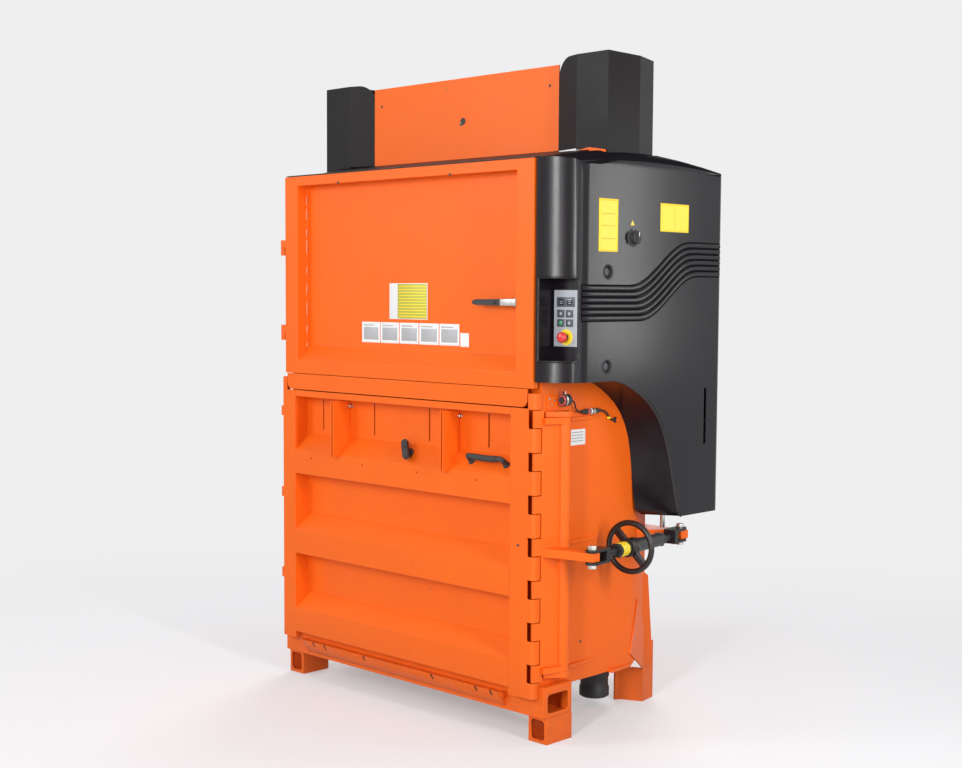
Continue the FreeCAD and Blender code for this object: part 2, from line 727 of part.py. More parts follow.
def build_roof():
    """The bent roof sheets, the guard plate in front of the cylinders and the two cylinder hoods."""
    t = S.roof_sheet
    high = roof_under + S.roof_rise
    front = plate("roof_front_sheet", "YZ", [
        (S.roof_front, roof_under), (S.roof_flat, roof_under), (S.guard_y + S.guard_sheet, high), (S.guard_y + S.guard_sheet, high + t),
        (S.guard_y, high + t), (S.roof_flat, roof_under + t), (S.roof_front, roof_under + t)], -S.roof_half, S.roof_half)
    corners = [box(f"roof_corner_{side}", sides(side, S.guard_half - 1, S.roof_half + 1), (S.hood_front - 2, S.guard_y + 10),
                   (roof_under, high + t + 1)) for side in (1, -1)]
    node(cut("roof_front", front, *corners), "roof_front")
    flat = wall_top + S.rear_wall_rise
    node(plate("roof_rear", "YZ", [
        (S.hood_rear + 5, flat), (S.roof_rear_flat, flat), (S.cover_rear - 1, flat - S.roof_rear_drop), (S.cover_rear - 1, flat - S.roof_rear_drop + t),
        (S.roof_rear_flat, flat + t), (S.hood_rear + 5, flat + t)], -S.roof_half, S.roof_half), "roof_rear")

    guard_top = guard_base + S.guard_height
    guard = plate("guard_plate", "XZ", [(-S.guard_half, guard_base), (S.guard_half, guard_base), (S.guard_half, guard_top), (-S.guard_half, guard_top)],
                  S.guard_y, S.guard_y + S.guard_sheet,
                  holes=[(ZERO, guard_top - S.guard_eye_drop, S.guard_eye)])
    node(guard, "guard_plate")

    h = S.hood_sheet
    for side, label in ((1, "hood_right"), (-1, "hood_left")):
        flange_x, flange_y = S.guard_half, S.guard_y
        skin = plate(label + "_skin", "XY", mirrored(side, [
            (flange_x, flange_y), (S.hood_inner, S.hood_front), (S.hood_outer, S.hood_front), (S.hood_outer, S.hood_side_depth),
            (S.hood_rear_x, S.hood_rear), (S.hood_inner, S.hood_rear), (S.hood_inner, S.hood_rear - h), (S.hood_rear_x - h / 2, S.hood_rear - h),
            (S.hood_outer - h, S.hood_side_depth - h / 4), (S.hood_outer - h, S.hood_front + h), (S.hood_inner + h / 4, S.hood_front + h),
            (flange_x, flange_y + h)]), wall_top, hood_top)
        c = S.hood_corner
        corner = cut(label + "_corner", box(label + "_corner_block", sides(side, flange_x - 1, flange_x + c), (S.hood_front, flange_y + 2 * h), (hood_top - c, hood_top + 1)),
                     rod(label + "_corner_round", c, (side * (flange_x + c), S.hood_front - 1, hood_top - c), flange_y - S.hood_front + 2 * h + 2, "y"))
        lid = plate(label + "_lid", "XY", mirrored(side, [
            (S.hood_inner, S.hood_front), (S.hood_outer, S.hood_front), (S.hood_outer, S.hood_side_depth), (S.hood_rear_x, S.hood_rear),
            (S.hood_inner, S.hood_rear)]), hood_top - h, hood_top)
        foot = box(label + "_foot_gap", sides(side, flange_x - 2, S.hood_inner), (S.hood_front, S.guard_y + 2 * h), (0, guard_base))
        pivot = rod(label + "_pivot", S.pivot_pin, (side * S.cylinder_pivot_x, S.hood_front + h / 2, hood_top - S.cylinder_pivot_drop),
                    S.hood_rear - S.hood_front - h, "y")
        wall_gap = box(label + "_wall_gap", sides(side, 0, wall_out), (0, S.side_depth + 100), (0, press_top))
        node(fuse(label + "_weldment", cut(label + "_shell", skin, foot, wall_gap, corner), lid, pivot), label)


def build_press():
    """The platen with its guides, and the two crossed cylinders that drive it."""
    low = platen_low
    top = low + S.platen_plate
    slab = plate("platen_slab", "XY", [
        (-S.platen_half, S.platen_front), (S.platen_half, S.platen_front), (S.platen_half, S.platen_side_depth),
        (S.platen_rear_half, S.platen_rear), (-S.platen_rear_half, S.platen_rear), (-S.platen_half, S.platen_side_depth)], low, top)
    t = S.platen_rib_sheet
    ribs = []
    for name, y in (("front", S.cylinder_front), ("rear", S.cylinder_rear)):
        for side in (1, -1):
            across = (y + S.platen_channel / 2, y + S.platen_channel / 2 + t) if side > 0 else (y - S.platen_channel / 2 - t, y - S.platen_channel / 2)
            ribs.append(box(f"platen_rib_{name}_{side}", (-S.platen_half + t, S.platen_half - t), across, (top, top + S.platen_low_rib)))
            ribs.append(box(f"platen_ear_{name}_{side}", sides(1 if name == "front" else -1, S.platen_pivot_x - S.platen_ear_length / 2, S.platen_pivot_x + S.platen_ear_length / 2),
                            across, (top, top + S.platen_rib_height)))
    for side in (1, -1):
        ribs.append(box(f"platen_end_{side}", sides(side, S.platen_half - t, S.platen_half), (S.platen_front, S.platen_side_depth), (top, top + S.platen_edge_height)))
    ribs.append(box("platen_lip_front", (-S.platen_half + t, S.platen_half - t), (S.platen_front, S.platen_front + t), (top, top + S.platen_edge_height)))
    ribs.append(box("platen_lip_rear", (-S.platen_rear_half, S.platen_rear_half), (S.platen_rear - t, S.platen_rear), (top, top + S.platen_edge_height)))
    for x in (-S.platen_pivot_x / 2, S.platen_pivot_x / 2):
        for name, y0, y1 in (("a", S.platen_front + t, S.cylinder_front - S.platen_channel / 2 - t), ("b", S.cylinder_rear + S.platen_channel / 2 + t, S.platen_rear - t)):
            ribs.append(box(f"platen_stay_{name}_{'l' if x.value < 0 else 'r'}", (x - t / 2, x + t / 2), (y0, y1), (top, top + S.platen_edge_height)))
    node(fuse("platen_weldment", slab, *ribs), "platen")

    pads = [box(f"guide_{side}_{number}", sides(side, S.platen_half, S.front_half - S.seat_gap), (y, y + S.guide_length), (low, low + S.guide_height))
            for side in (1, -1) for number, y in enumerate((S.platen_front + 30, S.platen_side_depth - S.guide_length))]
    node(group("platen_guides", *pads), "platen_guides")

    span = S.cylinder_pivot_x + S.platen_pivot_x
    drop = hood_top - S.cylinder_pivot_drop - top - S.platen_pivot_lift + S.platen_plate
    drop = hood_top - S.cylinder_pivot_drop - (low + S.platen_pivot_lift)
    reach = (span * span + drop * drop).root()
    end = S.barrel_start + S.barrel_length
    for side, y, label in ((-1, S.cylinder_front, "left"), (1, S.cylinder_rear, "right")):
        n = f"cylinder_{label}"
        place = (side * S.cylinder_pivot_x, y, hood_top - S.cylinder_pivot_drop)
        turn = ((0, 1, 0), heading(drop, span if side < 0 else -span))
        w = S.barrel_eye_width
        body = fuse(n + "_body",
                    turned(n + "_eye", S.barrel_eye, (0, -w / 2, 0), w, "y"),
                    box(n + "_neck", (0, S.barrel_start), (-w / 2, w / 2), (-S.barrel_radius / 2, S.barrel_radius / 2)),
                    rod(n + "_tube", S.barrel_radius, (S.barrel_start, 0, 0), S.barrel_length, "x"))
        hollow = fuse(n + "_hollow",
                      rod(n + "_pivot_bore", S.pivot_pin + S.running_gap, (0, -w, 0), w * 2, "y"),
                      turned(n + "_bore", S.barrel_bore, (S.barrel_start + 15, 0, 0), S.barrel_length - 15 - S.gland_length, "x"),
                      rod(n + "_gland", S.rod_radius + S.running_gap, (end - S.gland_length - 1, 0, 0), S.gland_length + 2, "x"))
        barrel = cut(n + "_barrel", body, hollow)
        put(barrel, *place, *turn)
        node(barrel, f"cylinder_barrel_{label}")
        inside = S.barrel_start + S.gland_length
        w = S.rod_eye_width
        stem = fuse(n + "_stem",
                    rod(n + "_rod", S.rod_radius, (inside, 0, 0), reach - inside, "x"),
                    turned(n + "_piston", S.barrel_bore - S.running_gap, (inside, 0, 0), S.piston_length, "x"),
                    turned(n + "_rod_eye", S.rod_eye, (reach, -w / 2, 0), w, "y", 24),
                    turned(n + "_rod_pin", S.rod_pin, (reach, -S.rod_pin_length / 2, 0), S.rod_pin_length, "y"))
        put(stem, *place, *turn)
        node(stem, f"cylinder_rod_{label}")


def build_hinges():
    """Lift-off hinges: the frame's lower halves carry the pins, the doors' upper halves sit on them."""
    frame, feed, bale = [], [], []
    x, y, r = -S.hinge_x, S.hinge_y, S.hinge_knuckle
    places = [("feed", sill + S.feed_hinge_low, S.feed_hinge_height, S.front_half), ("feed", sill + S.feed_hinge_high, S.feed_hinge_height, S.front_half)]
    places += [("bale", sill - S.bale_hinge_top_drop - S.bale_hinge_pitch * i, S.bale_hinge_height, S.stile_left) for i in range(3)]
    for number, (door, low, height, edge) in enumerate(places):
        n = f"hinge_{number}"
        half = height / 2
        frame.append(fuse(n + "_frame_half",
                          turned(n + "_knuckle", r, (x, y, low), half, flats=12),
                          turned(n + "_pin", S.hinge_pin, (x, y, low), height - 3, flats=12),
                          box(n + "_leaf", (x, x + S.hinge_leaf), (y, y + S.hinge_leaf_depth), (low, low + half)),
                          box(n + "_pad", (x + S.hinge_leaf, -wall_out), (S.jamb_setback, y + S.hinge_leaf_depth), (low, low + half))))
        upper = fuse(n + "_upper", turned(n + "_socket", r, (x, y, low + half + S.seat_gap), half, flats=12),
                     box(n + "_arm", (x + r / 2, -edge), (y - 6, y + 5), (low + half + S.seat_gap, low + height + S.seat_gap)))
        bore = rod(n + "_bore", S.hinge_pin + S.running_gap, (x, y, low), height - 1)
        (feed if door == "feed" else bale).append(cut(n + "_door_half", upper, bore))
    node(group("frame_hinges", *frame), "frame_hinges")
    node(group("feed_door_hinges", *feed), "feed_door_hinges")
    node(group("bale_door_hinges", *bale), "bale_door_hinges")


def build_feed_door():
    """The pressed feed door with its deep pan, and the lever latch on it."""
    t = S.door_sheet
    low = sill + S.door_gap
    tray = cut("feed_tray", box("feed_outer", (-S.front_half, S.front_half), (0, S.door_depth), (low, door_top)),
               box("feed_inner", (-S.front_half + t, S.front_half - t), (t, S.door_depth + 1), (low + t, door_top - t)))
    slope = S.pan_slope / S.pan_depth
    lean = t * (slope * slope + 1).root()
    bottom = sill + S.pan_bottom
    pan = plate("feed_pan", "YZ", [
        (0, bottom - lean), (S.pan_depth + t, bottom - lean + slope * (S.pan_depth + t)), (S.pan_depth + t, sill + S.pan_top + t), (0, sill + S.pan_top + t)],
        -S.pan_half - t, S.pan_half + t)
    air = plate("feed_pan_air", "YZ", [
        (-10, bottom - 10 * slope), (S.pan_depth, bottom + S.pan_slope), (S.pan_depth, sill + S.pan_top), (-10, sill + S.pan_top)], -S.pan_half, S.pan_half)
    node(cut("feed_door", fuse("feed_pressing", tray, pan), air), "feed_door_panel")

    z = sill + S.latch_lift
    block_front = S.pan_depth - S.latch_block_depth
    block = box("latch_block_solid", (S.latch_block_left, S.latch_block_right), (block_front, S.pan_depth), (z - S.latch_block_half, z + S.latch_block_half))
    bore = rod("latch_bore", S.latch_pivot + S.running_gap, (S.latch_x, block_front - 1, z), S.latch_block_depth - 1, "y")
    node(cut("latch_bracket", block, bore), "latch_bracket")

    r = S.latch_lever_half
    lever = plate("latch_bar", "XZ", [
        (S.latch_x, z - r), (S.latch_x, z + r), (S.latch_x - S.latch_lever_length + r, z + r * 0.8), (S.latch_x - S.latch_lever_length, z + r * 0.3),
        (S.latch_x - S.latch_lever_length, z - r * 0.5), (S.latch_x - S.latch_lever_length + r, z - r * 0.8)],
        S.latch_lever_front, S.latch_lever_front + S.latch_lever_depth)
    hub = turned("latch_hub", S.latch_hub, (S.latch_x, S.latch_lever_front, z), block_front - S.seat_gap - S.latch_lever_front, "y")
    spindle = turned("latch_spindle", S.latch_pivot, (S.latch_x, S.latch_lever_front, z), S.pan_depth - 3 - S.latch_lever_front, "y", 12)
    node(fuse("latch_lever", lever, hub, spindle), "latch_lever")


def flute_levels():
    """The heights at which the baling door's fluted sheet turns, from the top down."""
    rim = sill - S.bale_door_drop
    shelf_1 = rim - S.bale_door_rim
    slope_1 = shelf_1 - S.flute_panel
    rib_1 = slope_1 - S.flute_slope
    shelf_2 = rib_1 - S.flute_rib
    end = beam_top - S.last_rib_lap
    panel = (shelf_2 - S.flute_slope - S.flute_second_rib - S.flute_last_slope - S.flute_last_rib - end) / 2
    slope_2 = shelf_2 - panel
    rib_2 = slope_2 - S.flute_slope
    shelf_3 = rib_2 - S.flute_second_rib
    slope_3 = shelf_3 - panel
    rib_3 = slope_3 - S.flute_last_slope
    return rim, shelf_1, slope_1, rib_1, shelf_2, slope_2, rib_2, shelf_3, slope_3, rib_3, end


def build_bale_door():
    """The fluted baling door, its hinge stile and its castellated lock stile, and the fittings on it."""
    t, d = S.bale_door_sheet, S.bale_panel_depth
    rim, shelf_1, slope_1, rib_1, shelf_2, slope_2, rib_2, shelf_3, slope_3, rib_3, end = flute_levels()

    def lean(drop):
        ratio = drop / d
        return t * ((ratio * ratio + 1).root() - ratio)

    a, b = lean(S.flute_slope), lean(S.flute_last_slope)
    front = [(0, rim), (0, shelf_1), (d, shelf_1), (d, slope_1), (0, rib_1), (0, shelf_2), (d, shelf_2), (d, slope_2), (0, rib_2),
             (0, shelf_3), (d, shelf_3), (d, slope_3), (0, rib_3), (0, end), (S.last_rib_depth, end)]
    back = [(t, rim), (t, shelf_1 + t), (d + t, shelf_1 + t), (d + t, slope_1 - a), (t, rib_1 - a), (t, shelf_2 + t), (d + t, shelf_2 + t),
            (d + t, slope_2 - a), (t, rib_2 - a), (t, shelf_3 + t), (d + t, shelf_3 + t), (d + t, slope_3 - b), (t, rib_3 - b), (t, end + t),
            (S.last_rib_depth, end + t)]
    sheet_body = plate("bale_flutes", "YZ", front + back[::-1], -S.bale_panel_left, S.bale_panel_right)
    slots, holes = [], []
    for i in range(4):
        x = S.slot_pitch * i - S.slot_left
        slots.append(box(f"strap_slot_{i}", (x - S.slot_width / 2, x + S.slot_width / 2), (d - 3, d + t + 3), (sill - S.slot_bottom, sill - S.slot_top)))
        holes.append(turned(f"rib_hole_{i}", S.rib_hole, (x, -2, sill - S.rib_hole_drop), t + 4, "y", 8))
    node(cut("bale_door_panel", sheet_body, *slots, *holes), "bale_door_panel")

    low, high = door_low, sill - S.stile_top_drop
    clear_top = beam_top + 2
    left = plate("hinge_channel", "XY", [
        (-S.stile_left, 0), (-S.bale_panel_left, 0), (-S.bale_panel_left, d + t), (-S.bale_panel_left - t, d + t), (-S.bale_panel_left - t, t),
        (-S.stile_left + t, t), (-S.stile_left + t, S.stile_depth), (-S.stile_left, S.stile_depth)], low, high)
    step = box("hinge_stile_step", (-S.stile_step, -S.bale_panel_left + 1), (-1, d + t + 1), (rim, high + 1))
    beam_gap = box("hinge_stile_beam_gap", (-S.stile_left - 1, -S.bale_panel_left + 1), (S.beam_front - 2, d + t + 1), (low - 1, clear_top))
    node(cut("bale_hinge_stile", left, step, beam_gap), "bale_hinge_stile")

    side, r = S.lock_stile_side, S.lock_stile_bend
    bend = [(side - r * (1 - a), r * b) for a, b in ((0, 0), (0.5, 0.134), (0.866, 0.5), (1, 1))]
    right = plate("lock_channel", "XY", [
        (S.bale_panel_right, 0), *bend, (side, S.stile_depth), (side - t, S.stile_depth), (side - t, r), (side - r, t),
        (S.bale_panel_right + t, t), (S.bale_panel_right + t, d + t), (S.bale_panel_right, d + t)], low, high)
    cuts = [box("lock_stile_step", (S.bale_panel_right - 1, S.lock_stile_step), (-1, d + t + 1), (rim, high + 1)),
            box("lock_stile_beam_gap", (S.bale_panel_right - 1, side + 1), (S.beam_front - 2, d + t + 1), (low - 1, clear_top))]
    for i in range(7):
        top = sill - S.notch_top - notch_pitch * i
        cuts.append(box(f"notch_{i}", (S.notch_edge, side + 1), (-1, S.stile_depth + 1), (top - S.notch_height, top)))
    node(cut("bale_lock_stile", right, *cuts), "bale_lock_stile")

    brackets = []
    for name, x in (("left", -S.strap_bracket_left), ("right", S.strap_bracket_right)):
        w, s = S.strap_bracket_width, S.strap_bracket_sheet
        foot = rib_1 - S.strap_bracket_lap
        shape = [(-S.strap_bracket_front, sill - S.strap_bracket_top), (-S.strap_bracket_front, foot), (0, foot), (0, rib_1), (d, slope_1), (d, sill - S.strap_bracket_top)]
        bolt_z = sill - S.strap_bracket_top - 15
        brackets.append(fuse(f"strap_bracket_{name}", plate(f"strap_plate_{name}_a", "YZ", shape, x, x + s), plate(f"strap_plate_{name}_b", "YZ", shape, x + w - s, x + w),
                             turned(f"strap_bolt_{name}", S.strap_bolt, (x - 4, d - 10, bolt_z), w + 8, "x", 6)))
    node(group("strap_brackets", *brackets), "strap_brackets")

    mid_y, mid_z = d / 2, (slope_1 + rib_1) / 2
    tip = heading(S.flute_slope, d)
    base = cut("rotary_boss", turned("rotary_boss_disc", S.rotary_base, (0, 0, 0), S.rotary_base_height, flats=24),
               rod("rotary_boss_bore", S.rotary_spindle + S.running_gap, (0, 0, 1), S.rotary_base_height))
    node(put(base, S.rotary_x, mid_y, mid_z, (1, 0, 0), tip), "rotary_handle_base")
    h, w = S.rotary_lever_lift, S.rotary_lever_width
    bar = box("rotary_bar", (-S.rotary_lever_length / 2 + w / 2, S.rotary_lever_length / 2 - w / 2), (-w / 2, w / 2), (h, h + S.rotary_lever_thickness))
    ends = [turned(f"rotary_end_{s}", w / 2, (s * (S.rotary_lever_length / 2 - w / 2), 0, h), S.rotary_lever_thickness) for s in (-1, 1)]
    spindle = turned("rotary_spindle", S.rotary_spindle, (0, 0, 1.3), h, flats=12)
    collar = turned("rotary_collar", w / 2, (0, 0, S.rotary_base_height + S.seat_gap), h - S.rotary_base_height)
    grip = fuse("rotary_grip", bar, *ends)
    put(grip, 0, 0, 0, (0, 0, 1), -S.rotary_lever_turn)
    node(put(fuse("rotary_handle", grip, spindle, collar), S.rotary_x, mid_y, mid_z, (1, 0, 0), tip), "rotary_handle")

    p = S.pull_thickness
    bow = [box("pull_leg_left", (0, p), (-p / 2, p / 2), (0, S.pull_reach)), box("pull_leg_right", (S.pull_width - p, S.pull_width), (-p / 2, p / 2), (0, S.pull_reach)),
           box("pull_bar", (0, S.pull_width), (-p / 2, p / 2), (S.pull_reach - p, S.pull_reach))]
    node(put(fuse("pull_handle", *bow), S.pull_left, mid_y, mid_z, (1, 0, 0), tip), "pull_handle")


def build_lock():
    """The toothed lock column on its pivots, its lever arm, and the turnbuckle that turns it."""
    top, bottom = column_top, column_low
    c, t, r = (S.column_x, S.column_y), S.column_plate, S.column_radius
    reach_y = S.column_y - S.jamb_setback + 4
    lean = heading(-reach_y, -(S.column_x - wall_out - 4))
    half = t / 2
    plate_low, plate_high = bottom + S.column_lug, top - S.column_lug
    blade = box("column_blade", (0, S.column_plate_reach), (-half, half), (plate_low, plate_high))
    teeth = []
    for i in range(7):
        notch = sill - S.notch_top - notch_pitch * i
        teeth.append(box(f"column_tooth_{i}", (S.column_plate_reach - 6, S.column_tooth_reach), (-half, half),
                         (notch - S.notch_height + S.tooth_clearance, notch - S.tooth_clearance)))
    lugs = []
    for name, low in (("top", top - S.column_lug), ("bottom", bottom)):
        lugs.append(box(f"column_lug_{name}", (0, S.column_plate_reach - 2), (-half, r), (low, low + S.column_lug)))
    tube = rod("column_tube", r, (0, 0, bottom), top - bottom)
    bores = [rod("column_bore_top", S.column_pin + S.running_gap, (0, 0, top - S.column_pin_depth - 1), S.column_pin_depth + 2),
             rod("column_bore_bottom", S.column_pin + S.running_gap, (0, 0, bottom - 1), S.column_pin_depth + 2)]
    column = cut("locking_column", fuse("column_weldment", blade, *teeth, *lugs, tube), *bores)
    node(put(column, *c, 0, (0, 0, 1), lean), "locking_column")

    brackets = []
    gap, b = S.column_gap, S.column_bracket
    for name, low in (("top", top + gap), ("bottom", bottom - gap - b)):
        arm = plate(f"column_bracket_{name}_plate", "XY", [
            (wall_out, S.jamb_setback + 14), (wall_out + 8, S.jamb_setback + 10), (S.column_x + r, S.column_y - 6), (S.column_x + r, S.column_y + 10),
            (S.column_x + r / 2, S.column_y + r), (wall_out, S.column_y + S.rib_start - 3)], low, low + b)
        pin = (turned("column_pin_top", S.column_pin, (*c, top - S.column_pin_depth), S.column_pin_depth + gap + b) if name == "top"
               else turned("column_pin_bottom", S.column_pin, (*c, low), S.column_pin_depth + gap + b))
        brackets.append(fuse(f"column_bracket_{name}", arm, pin))
    for name, drop in (("top", S.rib_top_drop), ("mid", S.rib_mid_drop), ("low", S.rib_low_drop)):
        e = S.rib_thickness / 2
        brackets.append(plate(f"wall_rib_{name}", "XY", [(wall_out, S.column_y + S.rib_start), (wall_out + 14, S.column_y + S.rib_start + 4), (wall_out, S.column_y + S.rib_length)],
                              sill - drop - e, sill - drop + e))
    reach = S.rear_rib_y + S.rib_length - S.rib_start - S.side_depth
    brackets.append(plate("wall_rib_rear", "XY", [
        (wall_out, S.rear_rib_y), (wall_out + 14, S.rear_rib_y + 4), (wall_out + 6, S.side_depth), (wall_out - bend_in * reach / bend_back, S.side_depth + reach),
        (wall_out, S.side_depth)],
        sill - S.rear_rib_drop - e, sill - S.rear_rib_drop + e))
    node(group("column_brackets", *brackets), "column_brackets")

    low, high = sill - S.lever_drop - S.lever_thickness, sill - S.lever_drop
    tip_x = S.lever_x + S.lever_tip
    arm = plate("lever_arm_plate", "XY", [
        (S.column_x - r, S.jamb_setback - 4), (S.column_x + 60, S.column_y - 46), (tip_x, S.lever_y - S.lever_tip_half), (tip_x, S.lever_y + S.lever_tip_half),
        (S.column_x + 84, S.column_y - 2), (S.column_x, S.column_y)], low, high)
    stub = rod("lever_column_gap", r + S.running_gap, (*c, low - 1), S.lever_thickness + 2)
    blade_gap = put(group("lever_blade_gap", box("lever_blade_block", (-60, S.column_plate_reach + 60), (-60, half + S.running_gap), (low - 1, high + 1))), *c, 0, (0, 0, 1), lean)
    bore = turned("lever_bore", S.fork_bolt + S.running_gap / 2, (S.lever_x, S.lever_y, low - 1), S.lever_thickness + 2)
    node(cut("lever_arm", arm, stub, blade_gap, bore), "lever_arm")

    f, g = S.fork_plate, S.lever_thickness / 2 + S.fork_gap
    place = (S.anchor_x, S.anchor_y, lever_mid)

    def fork(name, at, away, rod_from, rod_to, play):
        """Two rounded cheeks about a cross bolt, a web between them and the screwed rod behind it."""
        e = S.fork_radius
        cheeks = []
        for n, low in (("low", -g - f), ("high", g)):
            cheeks.append(turned(f"{name}_nose_{n}", e, (at, 0, low), f, flats=24))
            cheeks.append(box(f"{name}_cheek_{n}", (at, at + S.fork_length + S.fork_web) if away > 0 else (at - S.fork_length - S.fork_web, at),
                              (-e, e), (low, low + f)))
        web = box(f"{name}_web", (at + S.fork_length, at + S.fork_length + S.fork_web) if away > 0 else (at - S.fork_length - S.fork_web, at - S.fork_length),
                  (-e, e), (-g - f, g + f))
        stem = turned(f"{name}_rod", S.rod_thread, (rod_from, 0, 0), rod_to - rod_from, "x")
        bore = rod(f"{name}_bore", S.fork_bolt + play, (at, 0, -g - f - 1), 2 * (g + f) + 2)
        return put(cut(name, fuse(name + "_forging", *cheeks, web, stem), bore), *place, (0, 0, 1), turn_yaw)

    node(fork("rear_fork", ZERO, 1, S.fork_length + 5, S.rear_rod_end, S.running_gap), "rear_fork")
    node(fork("front_fork", turn_run, -1, S.front_rod_end, turn_run - S.fork_length - 5, S.pivot_play), "front_fork")
    for name, x, y in (("front_fork_bolt", S.lever_x, S.lever_y), ("rear_fork_bolt", S.anchor_x, S.anchor_y)):
        under, over = lever_mid - g - f, lever_mid + g + f
        bolt = turned(name + "_shank", S.fork_bolt, (x, y, under - S.fork_bolt_head_height), 2 * (g + f + S.fork_bolt_head_height))
        heads = []
        for n, z in (("head", over), ("nut", under - S.fork_bolt_head_height)):
            prism = doc.addObject("Part::Prism", f"{name}_{n}")
            prism.Polygon = 6
            bind(prism, "Circumradius", S.fork_bolt_head)
            bind(prism, "Height", S.fork_bolt_head_height)
            heads.append(put(prism, x, y, z))
        node(fuse(name, bolt, *heads), name)

    sleeve = cut("turnbuckle_tube", rod("tube_outer", S.tube_radius, (S.tube_start, 0, 0), S.tube_end - S.tube_start, "x"),
                 rod("tube_bore", S.rod_thread + S.running_gap, (S.tube_start - 1, 0, 0), S.tube_end - S.tube_start + 2, "x"))
    node(put(sleeve, *place, (0, 0, 1), turn_yaw), "turnbuckle_tube")

    w, depth, at = S.wheel_radius, S.wheel_rim_depth, S.wheel_place
    ring = cut("wheel_ring", turned("wheel_ring_outer", w, (at - depth / 2, 0, 0), depth, "x", 36),
               turned("wheel_ring_inner", w - S.wheel_rim, (at - depth / 2 - 1, 0, 0), depth + 2, "x", 36))
    spoke = put(group("wheel_spokes", box("wheel_spoke_bar", (-S.wheel_spoke_depth / 2, S.wheel_spoke_depth / 2), (-S.wheel_spoke / 2, S.wheel_spoke / 2),
                                          (S.wheel_rim / 2 - w, w - S.wheel_rim / 2))), at, 0, 0, (1, 0, 0), S.wheel_turn)
    hub = turned("wheel_hub", S.wheel_hub, (at - S.wheel_hub_length / 2, 0, 0), S.wheel_hub_length, "x", 24)
    hub_bore = rod("wheel_hub_bore", S.tube_radius + S.running_gap / 2, (at - S.wheel_hub_length / 2 - 1, 0, 0), S.wheel_hub_length + 2, "x")
    node(put(cut("handwheel", fuse("wheel_casting", ring, spoke, hub), hub_bore), *place, (0, 0, 1), turn_yaw), "handwheel")

    e = S.fork_radius - 2
    root_x = wall_out - (S.anchor_front_y - S.side_depth) * bend_in / bend_back
    anchor = plate("anchor_plate", "XY", [
        (root_x, S.anchor_front_y), (S.anchor_x - e - 4, S.anchor_y - e), (S.anchor_x + e, S.anchor_y - e), (S.anchor_x + e, S.anchor_y + e),
        (S.anchor_x - e, S.anchor_y + e), (S.rear_half, rear_outer + S.pack_bracket), (S.rear_half, S.body_depth)], low, high)
    hole = rod("anchor_bore", S.fork_bolt + S.running_gap / 2, (S.anchor_x, S.anchor_y, low - 1), S.lever_thickness + 2)
    node(cut("rear_anchor_arm", anchor, hole), "rear_anchor_arm")


def build_interlock():
    """The door interlock: its bracket, the round sensor, the cable and the inline connector."""
    z_top = sill - S.interlock_top
    rear, z_low, nip = S.interlock_y + S.interlock_length, z_top - S.interlock_height, S.interlock_height / 8
    bracket = plate("interlock_bracket", "YZ", [
        (S.interlock_y, z_low), (rear - 2 * nip, z_low), (rear - nip / 2, z_low + nip / 2), (rear, z_low + 2 * nip),
        (rear, z_top - 2 * nip), (rear - nip / 2, z_top - nip / 2), (rear - 2 * nip, z_top), (S.interlock_y, z_top)],
        wall_out, wall_out + S.interlock_sheet)
    node(bracket, "interlock_bracket")

    x = wall_out + S.interlock_sheet + S.sensor_radius
    z = sill - S.sensor_axis_drop
    start = S.interlock_y + S.interlock_length - S.sensor_length / 2
    body = turned("sensor_body", S.sensor_radius, (x, start, z), S.sensor_length, "y", 24)
    nut = turned("sensor_nut", S.sensor_radius - 5, (x, start - 4, z), S.sensor_length + 4, "y", 6)
    node(fuse("interlock_sensor", body, nut), "interlock_sensor")

    conn_x = wall_out + S.seat_gap + S.connector_radius
    conn_z = sill - S.connector_drop
    c0, c1 = S.connector_y, S.connector_y + S.connector_length
    k = S.connector_radius
    shell = fuse("cable_connector", turned("connector_body", k, (conn_x, c0 + 12, conn_z), S.connector_length - 24, "y", 12),
                 turned("connector_tail", k * 0.62, (conn_x, c0, conn_z), S.connector_length, "y", 12))
    node(shell, "cable_connector")

    r = S.cable_radius.value
    lead = S.cable_lead.value
    shift = V(-centre_x.value, -centre_y.value, 0)
    x0, y0, z0 = x.value, (start + S.sensor_length).value, z.value
    x1, y1, z1 = conn_x.value, c0.value, conn_z.value
    cable("sensor_cable", [V(x0, y0, z0), V(x0, y0 + lead, z0), V(x1, y1 - lead, z1), V(x1, y1, z1)], r, shift)
    x2, y2, z2 = (wall_out + S.cable_radius * 2).value, S.cable_clip_y.value, (sill - S.cable_clip_drop).value
    cable("connector_cable", [V(x1, c1.value, z1), V(x1, c1.value + lead, z1), V(x2, y2 - lead, z2), V(x2, y2, z2)], r, shift)


